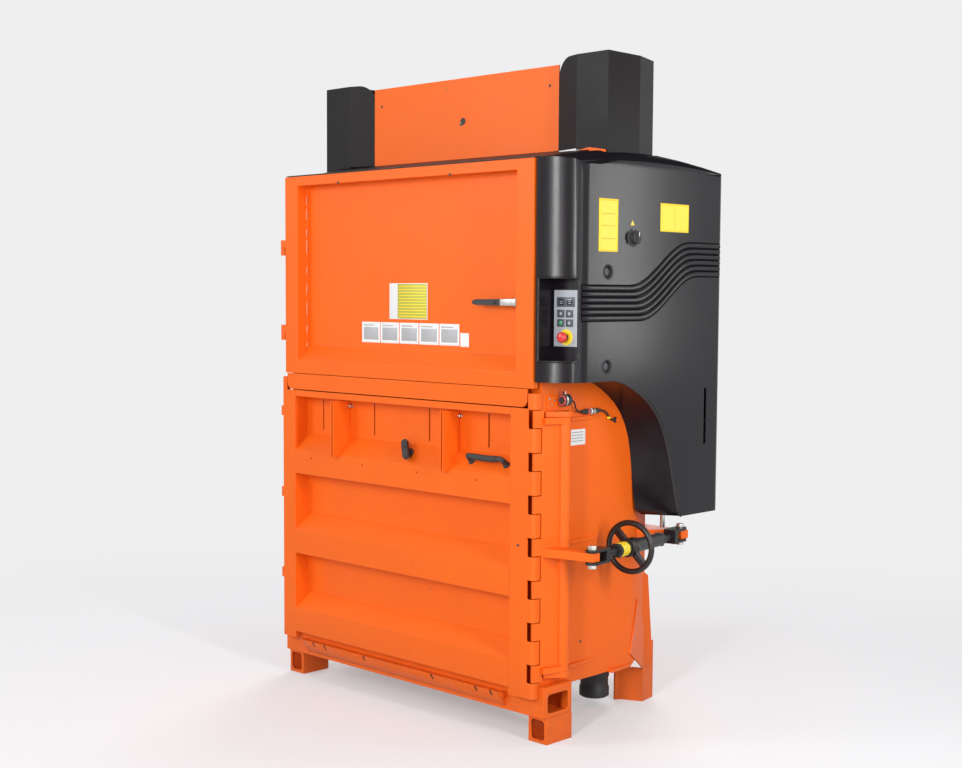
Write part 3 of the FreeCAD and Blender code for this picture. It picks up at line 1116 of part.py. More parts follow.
def cable(label, points, radius, shift):
    """A round cable along straight runs joined by tangent arcs as large as the runs allow."""
    from math import tan, radians, degrees
    points = [p + shift for p in points]
    edges, at, bends = [], points[0], []
    for before, corner, after in zip(points, points[1:], points[2:]):
        one, two = before - corner, after - corner
        turn = 180 - degrees(one.getAngle(two))
        bend = 0.45 * min(one.Length, two.Length) / tan(radians(turn) / 2)
        trim = 0.45 * min(one.Length, two.Length)
        a, b = corner + one.normalize() * trim, corner + two.normalize() * trim
        inward = (a + b) * 0.5 - corner
        centre = corner + inward.normalize() * (bend ** 2 + trim ** 2) ** 0.5
        middle = centre - (centre - corner).normalize() * bend
        edges += [Part.LineSegment(at, a).toShape(), Part.Arc(a, middle, b).toShape()]
        bends.append(round(bend, 1))
        at = b
    edges.append(Part.LineSegment(at, points[-1]).toShape())
    path = Part.Wire(edges)
    sides_round = 6
    ahead = (points[1] - points[0]).normalize()
    spoke = ahead.cross(V(0, 0, 1)).normalize() * radius
    ring = [points[0] + FreeCAD.Rotation(ahead, 360 * k / sides_round).multVec(spoke) for k in range(sides_round)]
    start = Part.Wire(Part.makePolygon([*ring, ring[0]]))
    pipe = path.makePipeShell([start], True, False)
    share = pipe.Volume / (Part.Face(start).Area * path.Length)
    print(f"{label}: length {path.Length:.1f}, bend radii {bends}, volume share {share:.4f}")
    piece = doc.addObject("Part::Feature", label)
    piece.Shape = pipe
    piece.Label = label
    NODES.append(piece)


BAY_OUTER = [(0, 0), (0.12, 0.012), (0.232, 0.047), (0.45, 0.135), (0.649, 0.28), (0.768, 0.482), (0.845, 0.70), (0.917, 0.92), (0.952, 0.98), (1, 1)]
BAY_INNER = [(0, 0), (0.15, 0.02), (0.30, 0.07), (0.48, 0.15), (0.619, 0.245), (0.755, 0.42), (0.82, 0.66), (0.866, 0.88), (0.905, 0.97), (1, 1)]


def smooth(points, count):
    """Evenly spaced points on a smooth curve through the given ones."""
    curve = Part.BSplineCurve()
    curve.interpolate([V(a, b, 0) for a, b in points])
    return [(v.x, v.y) for v in curve.discretize(Number=count)]


def inward(loop, gap):
    """A closed outline drawn in by a gap, each corner moved along both of its sides' normals."""
    result = []
    for i, here in enumerate(loop):
        before, after = loop[i - 1], loop[(i + 1) % len(loop)]
        one, two = (here - before).normalize(), (after - here).normalize()
        n1, n2 = V(0, -one.z, one.y), V(0, -two.z, two.y)
        both = (n1 + n2).normalize()
        result.append(here + both * (gap / max(0.4, both.dot(n1))))
    return result


def faceted(sections):
    """A closed solid through matching outlines, in flat triangles between them."""
    faces = []
    for low, high in zip(sections, sections[1:]):
        for i in range(len(low)):
            j = (i + 1) % len(low)
            for corners in ((low[i], low[j], high[j]), (low[i], high[j], high[i])):
                faces.append(Part.Face(Part.makePolygon([*corners, corners[0]])))
    for end in (sections[0], sections[-1]):
        faces.append(Part.Face(Part.makePolygon([*end, end[0]])))
    solid = Part.makeSolid(Part.makeShell(faces))
    if solid.Volume < 0:
        solid.reverse()
    return solid


def build_cover():
    """The moulded side cover with its control pocket, and the controls in it."""
    from math import sin, cos, radians
    value = lambda amount: amount.value
    rim = value(cover_rim)
    outer_x, t = value(cover_outer), value(S.cover_sheet)
    corner, rear, crest = value(S.cover_rear_corner), value(S.cover_rear), value(cover_rim + S.cover_crest)
    zero = value(sill)
    low, tail_z = zero + value(S.cover_front_bottom), zero - value(S.cover_tail_bottom)
    outer_curve, inner_curve = smooth(BAY_OUTER, 15), smooth(BAY_INNER, 15)
    crown, crown_end, rim_z = value(S.cover_crown), value(S.cover_crown_end), value(S.cover_rim)
    rows = [(rim, rear, crown_end - 2, crown - 4), (crest, rear, crown_end, crown), ((crest + outer_x - corner) / 2, rear, crown_end - 2, crown - 7)]
    for turn in (0, 30, 60, 90):
        share = (1 - cos(radians(turn)))
        end = crown_end - 5 - (crown_end - 5 - rim_z) * share
        rows.append((outer_x - corner + corner * sin(radians(turn)), rear - corner * share, end, end + (crown - 17 - crown_end + 5) * (1 - share) + 1))

    def section(x, back, end, top):
        share = (x - rim) / (outer_x - rim)
        front = value(S.cover_front_inner) + value(S.cover_front_outer - S.cover_front_inner) * share
        bay = value(S.cover_bay_inner) + value(S.cover_bay_outer - S.cover_bay_inner) * share
        tail = value(S.cover_tail_inner) + value(S.cover_tail_outer - S.cover_tail_inner) * share
        loop = [V(x, front, low)]
        for (a, b), (c, d) in zip(inner_curve, outer_curve):
            across, down = a + (c - a) * share, b + (d - b) * share
            loop.append(V(x, bay + across * (tail - bay), low - down * (low - tail_z)))
        loop += [V(x, back, tail_z), V(x, back, zero + end)]
        for k in range(1, 8):
            u = k / 8
            loop.append(V(x, back + (front - back) * u, zero + end + (top - end) * (1 - (2 * u - 1) ** 2)))
        loop.append(V(x, front, zero + end))
        return loop

    sections = [section(*row) for row in rows]
    shrink = (outer_x - t - rim + 2) / (outer_x - rim)
    inner = []
    for loop in sections:
        x = rim - 2 + (loop[0].x - rim) * shrink
        inner.append([V(x, q.y, q.z) for q in inward(loop, t)])
    outside = faceted(sections)
    shell = outside.cut(faceted(inner))
    left, back = value(pocket_left), value(S.pocket_back)
    low, high = value(sill + S.pocket_bottom), value(sill + S.pocket_top)
    lining = Part.makeBox(outer_x - left + t + 10, back + t + 20, high - low + 2 * t, V(left - t, -20, low - t)).common(outside)
    shell = shell.fuse(lining)
    hollows = [Part.makeBox(outer_x - left + 20, back + 20, high - low, V(left, -20, low))]
    slot_y, slot_w = value(S.cover_slot_y), value(S.cover_slot_width)
    hollows.append(Part.makeBox(40, slot_w, value(S.cover_slot_bottom - S.cover_slot_top), V(outer_x - 20, slot_y, value(sill - S.cover_slot_bottom))))
    hood = value(S.hood_outer) + 3
    hollows.append(Part.makeBox(hood - 500, value(S.hood_rear - S.hood_front) + 10, 200, V(500, value(S.hood_front) - 5, value(sill) + 560)))
    hollows.append(Part.makeBox(40, 400, 140, V(rim - 5, -100, value(sill) - 20 - 100)))
    switch = V(outer_x - 20, value(S.switch_y), value(sill + S.switch_lift))
    hollows.append(Part.makeCylinder(value(S.switch_stem) + 0.05, 60, switch, V(1, 0, 0)))
    for hollow in hollows[:3] + hollows[4:]:
        shell = shell.cut(hollow)
    cover = doc.addObject("Part::Feature", "side_cover_moulding")
    cover.Shape = shell
    put(cover)
    node(cover, "side_cover")

    front = S.pocket_back - S.panel_thickness
    top = sill + S.panel_top
    panel = box("control_plate_blank", (panel_left, panel_left + panel_width), (front, S.pocket_back), (top - S.panel_height, top))
    b = S.button_size
    wells, sites = [], []
    for name, across, down in (("down", S.button_column_left, S.button_row_high), ("up", S.button_column_right, S.button_row_high),
                               ("start", S.button_column_left, S.button_row_low), ("return", S.button_column_right, S.button_row_low)):
        x, z = panel_left + across, top - down
        sites.append((name, x, z))
        g = S.seat_gap / 2
        wells.append(box(f"button_well_{name}", (x - b / 2 - g, x + b / 2 + g), (front - 1, front + 4), (z - b / 2 - g, z + b / 2 + g)))
    ex, ez = panel_left + S.estop_across, top - S.estop_drop
    collar = turned("estop_collar", S.estop_collar, (ex, front - S.estop_collar_height, ez), S.estop_collar_height, "y", 24)
    g = S.estop_stem + S.running_gap * 2
    stem_bore = box("estop_bore", (ex - g, ex + g), (front - 10, S.pocket_back - 1), (ez - g, ez + g))
    node(cut("control_plate", fuse("control_plate_body", panel, collar), *wells, stem_bore), "control_plate")
    for name, x, z in sites:
        node(box(f"button_{name}", (x - b / 2, x + b / 2), (front - S.button_proud, front + 1.7), (z - b / 2, z + b / 2)), f"button_{name}")
    head_y = front - S.estop_reach
    button = fuse("estop_button", turned("estop_head", S.estop_head, (ex, head_y, ez), S.estop_head_length, "y", 24),
                  box("estop_stem", (ex - S.estop_stem, ex + S.estop_stem), (head_y, S.pocket_back - S.estop_travel - 1), (ez - S.estop_stem, ez + S.estop_stem)))
    node(button, "estop_button")

    x = cover_outer
    z = sill + S.switch_lift
    knob = fuse("switch_body", turned("switch_knob", S.switch_knob, (x + 1, S.switch_y, z), S.switch_knob_length, "x", 24),
                box("switch_grip", (x + 1, x + 1 + S.switch_knob_length + 6), (S.switch_y - 4, S.switch_y + 4), (z - S.switch_knob, z + S.switch_knob)),
                turned("switch_stem", S.switch_stem, (x - 8, S.switch_y, z), 12, "x", 12))
    node(knob, "main_switch")


def build_power_pack():
    """The oil tank on its plate behind the rear corner, with the pump motor standing on it."""
    y0 = rear_outer + S.pack_bracket
    top = sill - S.tank_top_drop
    node(box("oil_tank", (S.tank_left, S.tank_left + S.tank_width), (y0, y0 + S.tank_depth), (top - S.tank_height, top)), "oil_tank")
    x, y = S.tank_left + S.tank_width / 2, y0 + S.tank_depth / 2
    node(fuse("pump_motor", turned("motor_body", S.motor_radius, (x, y, top), S.motor_height, flats=32), box("motor_flange", (x - S.motor_radius, x + S.motor_radius),
              (y - S.motor_radius, y + S.motor_radius), (top, top + S.motor_flange))), "pump_motor")


build_chamber()
build_base()
build_roof()
build_press()
build_hinges()
build_feed_door()
build_bale_door()
build_lock()
build_interlock()
build_cover()
build_power_pack()

doc.recompute()
for item in doc.Objects:
    if {"Invalid", "Error"} & set(item.State):
        raise RuntimeError(f"{item.Label} failed: {item.State}")
os.makedirs("parts", exist_ok=True)
for piece in NODES:
    if piece.Shape.isNull() or not piece.Shape.isValid():
        raise RuntimeError(f"{piece.Label} has no valid shape")
    piece.Shape.exportStep(f"parts/{piece.Label}.step")
print(f"{len(NODES)} pieces, {sum(len(piece.Shape.Solids) for piece in NODES)} solids")
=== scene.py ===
"""Looks of a vertical recycling baler: camera, light, paint, plastic, metal and the small fittings.

Every length given as "mm" is measured on the machine: x to its right from the middle of the front frame,
y back from the front of the doors and z up from the sill between the two doors.
"""
from __future__ import annotations

import json
import logging
import math
from dataclasses import dataclass
from enum import Enum
from typing import Callable, Iterable, Sequence

import bmesh
import bpy
from mathutils import Matrix, Vector
from mathutils.bvhtree import BVHTree

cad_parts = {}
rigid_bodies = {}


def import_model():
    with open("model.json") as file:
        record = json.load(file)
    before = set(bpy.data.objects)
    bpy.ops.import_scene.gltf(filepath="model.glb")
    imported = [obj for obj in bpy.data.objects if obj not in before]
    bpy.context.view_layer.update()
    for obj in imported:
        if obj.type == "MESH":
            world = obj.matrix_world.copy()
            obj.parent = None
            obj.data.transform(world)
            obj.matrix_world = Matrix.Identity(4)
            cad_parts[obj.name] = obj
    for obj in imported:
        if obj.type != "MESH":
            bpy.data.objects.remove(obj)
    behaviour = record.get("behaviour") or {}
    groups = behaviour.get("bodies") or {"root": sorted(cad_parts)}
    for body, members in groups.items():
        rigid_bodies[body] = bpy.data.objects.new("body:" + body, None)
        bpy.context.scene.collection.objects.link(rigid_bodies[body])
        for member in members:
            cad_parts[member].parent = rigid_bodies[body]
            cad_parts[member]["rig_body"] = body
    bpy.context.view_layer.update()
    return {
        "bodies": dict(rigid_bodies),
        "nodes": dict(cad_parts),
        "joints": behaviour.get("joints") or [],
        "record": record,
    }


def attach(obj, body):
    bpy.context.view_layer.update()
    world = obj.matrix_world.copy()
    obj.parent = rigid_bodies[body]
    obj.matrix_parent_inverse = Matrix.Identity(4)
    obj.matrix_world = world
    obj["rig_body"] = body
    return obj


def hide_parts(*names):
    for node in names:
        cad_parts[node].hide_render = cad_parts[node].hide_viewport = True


log = logging.getLogger("baler")

Obj = bpy.types.Object
Pair = tuple[float, float]
Point = Colour = tuple[float, float, float]
Outline = Sequence[Pair]

CENTRE = Vector((69.356, 363.0, -1023.0))  # the row's origin as a machine point in mm
ZERO = (0.0, 0.0, 0.0)
FRONT, RIGHT = Vector((0.0, -1.0, 0.0)), Vector((1.0, 0.0, 0.0))
SIDE = 671.0  # the cover's outer face, mm to the right
BEYOND_SIDE = 1200.0  # where a ray back to the cover starts, mm to the right
FACING = 0.9  # a face points one way where the cosine between them is over this
SAME_SPOT = 0.00002  # corners nearer than this, in metres, are one corner
REFINED_ANGLE = 40.0  # edges of a CAD piece sharper than this, in degrees, are rounded
FLAT_FACE_WEIGHT = 80  # how strongly flat faces lead the shading of the edges between them


def at(x: float, y: float, z: float) -> Vector:
    """A machine point in mm as a row-frame point in metres.

    Args:
        x: mm to the right of the middle.
        y: mm behind the doors' front.
        z: mm above the sill.

    Returns:
        The point in metres.
    """
    return (Vector((x, y, z)) - CENTRE) / 1000.0


def machine(place: Vector) -> Vector:
    """A row-frame point in metres as a machine point in mm.

    Args:
        place: The point in metres.

    Returns:
        The point in mm.
    """
    return place * 1000 + CENTRE


def turn_about(degrees: float, axis: str, pivot: Point = ZERO, base: Point | None = None) -> Matrix:
    """A turn about a machine point, and the move that then takes this point to its base.

    Args:
        degrees: The turn.
        axis: The axis, X, Y or Z.
        pivot: The point in mm that it turns about.
        base: Where the point goes in mm, or None where it stays.

    Returns:
        The transform, in metres.
    """
    turn = Matrix.Rotation(math.radians(degrees), 4, axis)
    return Matrix.Translation(at(*(base or pivot))) @ turn @ Matrix.Translation(-at(*pivot))


class Axis(Enum):
    """The way a round piece points, as the turn that takes +Z to it."""

    X = (90.0, "Y")
    Y = (-90.0, "X")
    Z = (0.0, "Z")

    def turn(self) -> Matrix:
        """The rotation that takes +Z to this axis."""
        angle, about = self.value
        return Matrix.Rotation(math.radians(angle), 4, about)


# ---------------------------------------------------------------- finishes


RGBA = {"data_type": "RGBA"}
MULTIPLY, MAXIMUM = (("Math", {}, {"operation": way}) for way in ("MULTIPLY", "MAXIMUM"))
SEEN = {"path": ("LightPath",), "ray": MAXIMUM, "seen": MAXIMUM}
SEEN_LINKS = ("path.Is Camera Ray > ray.0, path.Is Glossy Ray > ray.1, path.Is Transmission Ray > seen.0, "
              "ray.Value > seen.1, ")


def fill(tree: bpy.types.NodeTree, nodes: dict[str, tuple], links: str) -> None:
    """Adds nodes to a tree and links them.

    Args:
        tree: The tree.
        nodes: By name each one's type, then its inputs' values and its own settings where it has some.
        links: The links as "node.output > node.input", with a comma between two. The tree's own nodes go by
            the names that they have.
    """
    for name, (kind, *rest) in nodes.items():
        inputs, settings = (*rest, {}, {})[:2]
        node = tree.nodes.new(kind if kind.startswith("NodeGroup") else "ShaderNode" + kind)
        node.name = name
        for key, value in settings.items():
            setattr(node, key, value)
        for key, value in inputs.items():
            node.inputs[key].default_value = value
    for link in links.split(", "):
        (source, output), (target, entry) = (end.split(".") for end in link.split(" > "))
        output, entry = (int(key) if key.isdigit() else key for key in (output, entry))
        tree.links.new(tree.nodes[source].outputs[output], tree.nodes[target].inputs[entry])


@dataclass(frozen=True)
class Recipe:
    """A shader group: its inputs' values, its outputs' types, its nodes and its links."""

    name: str
    inputs: dict[str, float]
    outputs: dict[str, str]
    nodes: dict[str, tuple]
    links: str

    def use(self, **inputs: float) -> tuple:
        """A node of this group, which is made once.

        Args:
            inputs: Its inputs' values.

        Returns:
            The node, as fill takes it.
        """
        tree = bpy.data.node_groups.get(self.name)
        if not tree:
            tree = bpy.data.node_groups.new(self.name, "ShaderNodeTree")
            for key, value in self.inputs.items():
                tree.interface.new_socket(key, in_out="INPUT", socket_type="NodeSocketFloat").default_value = value
            for key, kind in self.outputs.items():
                tree.interface.new_socket(key, in_out="OUTPUT", socket_type="NodeSocket" + kind)
            fill(tree, {"given": ("NodeGroupInput",), "out": ("NodeGroupOutput",), **self.nodes}, self.links)
        return "Group", inputs, {"node_tree": tree}


# Fine surface grain, as a bumped normal and a soft variation mask.
GRAIN = Recipe(
    "surface_grain", {"Scale": 900.0, "Depth": 0.05, "Drift": 6.0}, {"Normal": "Vector", "Mask": "Float"},
    {"where": ("TexCoord",), "bump": ("Bump", {"Distance": 0.0006}), "fine": ("TexNoise", {"Detail": 3.0}),
     "broad": ("TexNoise", {"Detail": 4.0})},
    "where.Object > fine.Vector, where.Object > broad.Vector, given.Scale > fine.Scale, given.Drift > broad.Scale, "
    "given.Depth > bump.Strength, fine.Fac > bump.Height, bump.Normal > out.Normal, broad.Fac > out.Mask")

# Small sparse chips and scuffs, in some patches only.
CHIPS = Recipe(
    "sparse_chips", {"Scale": 60.0, "Amount": 0.5}, {"Mask": "Float"},
    {"where": ("TexCoord",), "small": ("TexNoise", {"Detail": 3.0, "Roughness": 0.7}),
     "patch": ("TexNoise", {"Scale": 4.0}),
     "cut": ("MapRange", {"From Min": 0.66, "From Max": 0.72}),
     "place": ("MapRange", {"From Min": 0.5, "From Max": 0.62}), "both": MULTIPLY, "scale": MULTIPLY},
    "where.Object > small.Vector, where.Object > patch.Vector, given.Scale > small.Scale, small.Fac > cut.Value, "
    "patch.Fac > place.Value, cut.Result > both.0, place.Result > both.1, both.Value > scale.0, "
    "given.Amount > scale.1, scale.Value > out.Mask")

# Dust and scuffs that gather towards the floor.
GRIME = Recipe(
    "low_grime", {"Amount": 0.3, "Height": 0.25}, {"Mask": "Float"},
    {"where": ("TexCoord",), "split": ("SeparateXYZ",), "noise": ("TexNoise", {"Scale": 22.0, "Detail": 6.0}),
     "fall": ("MapRange", {"From Min": 0.0, "To Min": 1.0, "To Max": 0.12}), "mix": MULTIPLY, "scale": MULTIPLY},
    "where.Object > split.Vector, where.Object > noise.Vector, split.Z > fall.Value, given.Height > fall.From Max, "
    "fall.Result > mix.0, noise.Fac > mix.1, mix.Value > scale.0, given.Amount > scale.1, scale.Value > out.Mask")


@dataclass(frozen=True)
class Finish:
    """A surface: its colours, gloss, grain, chips and grime."""

    name: str
    colour: Colour
    shade: Colour
    roughness: float = 0.4
    metallic: float = 0.0
    coat: float = 0.0
    grain: float = 900.0
    depth: float = 0.05
    drift: float = 6.0
    grime: float = 0.0
    specular: float = 0.5
    gloss_change: float = 0.08
    chips: float = 0.0
    chip_scale: float = 60.0
    chip_colour: Colour = (0.30, 0.10, 0.04)
    dirt_colour: Colour = (0.10, 0.07, 0.05)

    def make(self) -> bpy.types.Material:
        """Builds the material once and returns it afterwards.

        Returns:
            The material.
        """
        known = bpy.data.materials.get(self.name)
        if known:
            return known
        material = bpy.data.materials.new(self.name)
        material.use_nodes = True
        tree, top = material.node_tree, "blend"
        shader = tree.nodes["Principled BSDF"]
        shader.inputs["Metallic"].default_value = self.metallic
        shader.inputs["Coat Weight"].default_value = self.coat
        shader.inputs["Specular IOR Level"].default_value = self.specular
        low, high = self.roughness - self.gloss_change, self.roughness + self.gloss_change
        fill(tree, {
            "grain": GRAIN.use(Scale=self.grain, Depth=self.depth, Drift=self.drift),
            "blend": ("Mix", {6: (*self.shade, 1.0), 7: (*self.colour, 1.0)}, RGBA),
            "gloss": ("MapRange", {"To Min": low, "To Max": high}),
        }, "grain.Mask > blend.0, grain.Mask > gloss.Value, grain.Normal > Principled BSDF.Normal, "
           "gloss.Result > Principled BSDF.Roughness")
        layers = []
        if self.chips:
            layers.append(("chips", CHIPS.use(Scale=self.chip_scale, Amount=self.chips), self.chip_colour))
        if self.grime:
            layers.append(("dirt", GRIME.use(Amount=self.grime), self.dirt_colour))
        for name, mask, colour in layers:
            fill(tree, {name: mask, name + "_mix": ("Mix", {7: (*colour, 1.0)}, RGBA)},
                 f"{name}.Mask > {name}_mix.0, {top}.2 > {name}_mix.6")
            top = name + "_mix"
        fill(tree, {}, f"{top}.2 > Principled BSDF.Base Color")
        return material


ORANGE = Finish("orange_powder_coat", (0.86, 0.136, 0.004), (0.80, 0.116, 0.003), 0.46, grain=700.0, depth=0.07,
        grime=0.4, specular=0.28, chips=0.5)
DARK_HOOD = Finish("dark_hood_coat", (0.010, 0.008, 0.009), (0.007, 0.005, 0.006), 0.42, grain=1100.0, depth=0.16,
        specular=0.16)
DARK_ROOF = Finish("dark_roof_coat", (0.010, 0.009, 0.010), (0.007, 0.006, 0.007), 0.5, grain=1400.0, depth=0.1)
COVER = Finish("moulded_cover_plastic", (0.008, 0.006, 0.008), (0.006, 0.004, 0.006), 0.25, grain=2600.0, depth=0.035,
        specular=0.3, gloss_change=0.03, chips=0.35, chip_scale=90.0, chip_colour=(0.06, 0.055, 0.06))
# The cover's duller top faces; the same finish also gives the dull dark strips between the ribs, which are painted
# shade for the grooves.
DULL_CROWN_AND_GROOVE_SHADE = Finish("dull_crown_plastic_and_groove_shade", (0.008, 0.007, 0.009), (0.006, 0.005, 0.007), 0.8, grain=2600.0, depth=0.2,
        specular=0.03, gloss_change=0.03)
BLACK = Finish("black_plastic", (0.006, 0.005, 0.005), (0.004, 0.004, 0.004), 0.26, grain=1800.0, depth=0.05)
BLACK_PAINT = Finish("black_paint", (0.007, 0.006, 0.007), (0.005, 0.005, 0.005), 0.30)
ZINC = Finish("zinc_plate", (0.62, 0.61, 0.58), (0.50, 0.49, 0.45), 0.34, metallic=1.0, grain=260.0, depth=0.1,
        drift=30.0)
CHROME = Finish("hard_chrome", (0.75, 0.75, 0.77), (0.70, 0.70, 0.72), 0.12, metallic=1.0, depth=0.01,
        gloss_change=0.03)
RED = Finish("red_plastic", (0.62, 0.010, 0.008), (0.52, 0.008, 0.006), 0.28, coat=0.2, depth=0.03)
SENSOR_RED = Finish("sensor_red", (0.72, 0.050, 0.030), (0.60, 0.040, 0.025), 0.35, depth=0.04)
YELLOW = Finish("yellow_plate", (0.88, 0.66, 0.03), (0.84, 0.60, 0.02), 0.4, depth=0.02)
WHITE = Finish("white_plate", (0.80, 0.80, 0.79), (0.74, 0.74, 0.73), 0.4, depth=0.02)
PALE_GREY = Finish("pale_grey", (0.42, 0.43, 0.44), (0.36, 0.37, 0.38), 0.42, depth=0.03)
LIGHT_GREY = Finish("light_grey_paint", (0.50, 0.51, 0.50), (0.43, 0.44, 0.43), 0.4)
GREEN = Finish("green_plastic", (0.16, 0.62, 0.06), (0.02, 0.34, 0.08), 0.3, coat=0.2, depth=0.02)
GLASS_DARK = Finish("dark_display", (0.018, 0.022, 0.028), (0.012, 0.015, 0.020), 0.12, coat=0.4, depth=0.0)
MOTOR = Finish("motor_paint", (0.10, 0.13, 0.17), (0.08, 0.10, 0.13), 0.45)
GUIDE = Finish("guide_plastic", (0.72, 0.71, 0.66), (0.66, 0.64, 0.58), 0.5)
CABLE = Finish("cable_sheath", (0.012, 0.012, 0.012), (0.009, 0.009, 0.009), 0.5, depth=0.05)
# Dark rubber; the same finish also gives the thin dark sheets at the lip's notches, which are painted shade.
RUBBER_AND_NOTCH_SHADE = Finish("edge_rubber_and_notch_shade", (0.010, 0.010, 0.011), (0.007, 0.007, 0.008), 0.55, depth=0.05)
OLIVE = Finish("ruled_plate", (0.46, 0.46, 0.06), (0.40, 0.40, 0.05), 0.45, depth=0.02)
WELD = Finish("bare_weld", (0.74, 0.36, 0.22), (0.60, 0.22, 0.10), 0.45, metallic=0.3, grain=500.0, depth=0.2,
        drift=60.0)
FORGED = Finish("forged_black", (0.012, 0.012, 0.013), (0.008, 0.008, 0.009), 0.40, metallic=0.3, grain=420.0,
        depth=0.25)
WHEEL = Finish("wheel_casting", (0.014, 0.009, 0.008), (0.009, 0.006, 0.005), 0.34, grain=900.0, depth=0.1)
PANEL_GREY = Finish("panel_grey", (0.40, 0.42, 0.45), (0.34, 0.36, 0.39), 0.4, depth=0.02)
PANEL_DARK = Finish("panel_dark", (0.085, 0.095, 0.11), (0.065, 0.072, 0.085), 0.4, depth=0.02)
PLATE_RULE = Finish("plate_rule", (0.50, 0.36, 0.02), (0.44, 0.31, 0.02), 0.5, depth=0.0)

SLOT_FINISH: dict[str, Finish] = {
    "orange_paint": ORANGE, "grey_paint": DARK_ROOF, "light_grey_paint": LIGHT_GREY, "black_paint": BLACK_PAINT,
    "zinc_steel": ZINC, "rod_chrome": CHROME, "cover_plastic": COVER, "black_plastic": BLACK, "red_plastic": RED,
    "green_plastic": GREEN, "sensor_red": SENSOR_RED, "motor_blue": MOTOR, "guide_plastic": GUIDE, "cable_black": CABLE,
}


# ---------------------------------------------------------------- modelling by hand


class Bench:
    """Models pieces with Blender's own operators and puts them on their bodies."""

    def __init__(self) -> None:
        """Starts with no pieces."""
        self.made = 0
        self.skins: dict[str, BVHTree] = {}

    def clear(self) -> None:
        """Deselects everything."""
        bpy.ops.object.select_all(action="DESELECT")

    def take(self, obj: Obj) -> None:
        """Selects one object alone and makes it active.

        Args:
            obj: The object.
        """
        self.clear()
        obj.select_set(True)
        bpy.context.view_layer.objects.active = obj

    def fresh(self, name: str) -> Obj:
        """Names the object that was just added.

        Args:
            name: Its name.

        Returns:
            The object.
        """
        obj = bpy.context.active_object
        obj.name = obj.data.name = name
        return obj

    def block(self, name: str, low: Point, high: Point, bevel: float = 0.6, segments: int = 2) -> Obj:
        """A block between two machine corners, its edges rounded.

        Args:
            name: The piece's name.
            low: Lowest corner in mm.
            high: Highest corner in mm.
            bevel: Edge rounding in mm.
            segments: Rounding steps.

        Returns:
            The object.
        """
        a, b = at(*low), at(*high)
        self.clear()
        bpy.ops.mesh.primitive_cube_add(size=1.0, location=(a + b) / 2)
        obj = self.fresh(name)
        obj.scale = b - a
        bpy.ops.object.transform_apply(location=True, rotation=True, scale=True)
        return self.round(obj, bevel, segments) if bevel else obj

    def ring(self, name: str, radius: float, tube: float, middle: Point, axis: Axis, around: int, across: int) -> Obj:
        """A round ring of round section.

        Args:
            name: The piece's name.
            radius: Radius to the tube's middle in mm.
            tube: Tube radius in mm.
            middle: The ring's middle in mm.
            axis: The way its hole points.
            around: Steps round the ring.
            across: Steps round the tube.

        Returns:
            The object.
        """
        self.clear()
        bpy.ops.mesh.primitive_torus_add(major_radius=radius / 1000, minor_radius=tube / 1000, major_segments=around,
                minor_segments=across)
        obj = self.fresh(name)
        obj.data.transform(Matrix.Translation(at(*middle)) @ axis.turn())
        return obj

    def round(self, obj: Obj, width: float, segments: int = 2, angle: float = 35.0) -> Obj:
        """Rounds the sharp edges and applies it.

        Args:
            obj: The piece.
            width: Rounding in mm.
            segments: Steps.
            angle: Edges sharper than this, in degrees, are rounded.

        Returns:
            The same object.
        """
        self.take(obj)
        bevel = obj.modifiers.new("edge", "BEVEL")
        bevel.loop_slide = False
        bevel.width, bevel.segments = width / 1000, segments
        bevel.limit_method, bevel.angle_limit = "ANGLE", math.radians(angle)
        bpy.ops.object.modifier_apply(modifier=bevel.name)
        return obj

    def join(self, name: str, parts: Iterable[Obj]) -> Obj:
        """Joins parts into one piece.

        Args:
            name: The piece's name.
            parts: Its parts.

        Returns:
            The joined object.
        """
        parts = list(parts)
        self.clear()
        for part in parts:
            part.select_set(True)
        bpy.context.view_layer.objects.active = parts[0]
        bpy.ops.object.join()
        parts[0].name = parts[0].data.name = name
        return parts[0]

    def carve(self, obj: Obj, way: Vector, inset: float, depth: float) -> Obj:
        """Insets the faces that point one way and raises or sinks them.

        Args:
            obj: The piece.
            way: The way that the faces point.
            inset: How far their edge is drawn in, in mm.
            depth: How far they are raised, in mm, or sunk where negative.

        Returns:
            The same object.
        """
        self.take(obj)
        bpy.ops.object.mode_set(mode="EDIT")
        bpy.ops.mesh.select_mode(type="FACE")
        bpy.ops.mesh.select_all(action="DESELECT")
        mesh = bmesh.from_edit_mesh(obj.data)
        for face in mesh.faces:
            face.select_set(face.normal.dot(way) > FACING)
        bmesh.update_edit_mesh(obj.data)
        bpy.ops.mesh.inset(thickness=inset / 1000, depth=depth / 1000)
        bpy.ops.object.mode_set(mode="OBJECT")
        return obj

    def turned(self, name: str, outline: Outline, place: Point, axis: Axis = Axis.Z, sides: int = 48) -> Obj:
        """A lathe piece: a disc extruded and resized from step to step.

        Args:
            name: The piece's name.
            outline: Radius and height of each step, in mm.
            place: The machine point of height 0.
            axis: The way it points.
            sides: Facets round it.

        Returns:
            The object.
        """
        self.clear()
        start = outline[0][1]
        bpy.ops.mesh.primitive_circle_add(vertices=sides, radius=outline[0][0] / 1000, fill_type="NGON")
        obj = self.fresh(name)
        bpy.ops.object.mode_set(mode="EDIT")
        bpy.ops.mesh.select_all(action="SELECT")
        for (r_0, h_0), (r_1, h_1) in zip(outline, outline[1:]):
            bpy.ops.mesh.extrude_region_move(TRANSFORM_OT_translate={"value": (0, 0, (h_1 - h_0) / 1000)})
            bpy.ops.transform.resize(value=(r_1 / r_0, r_1 / r_0, 1.0), center_override=(0, 0, (h_1 - start) / 1000))
        bpy.ops.mesh.select_all(action="SELECT")
        bpy.ops.mesh.normals_make_consistent(inside=False)
        bpy.ops.object.mode_set(mode="OBJECT")
        obj.data.transform(Matrix.Translation(at(*place)) @ axis.turn() @ Matrix.Translation((0, 0, start / 1000)))
        return obj

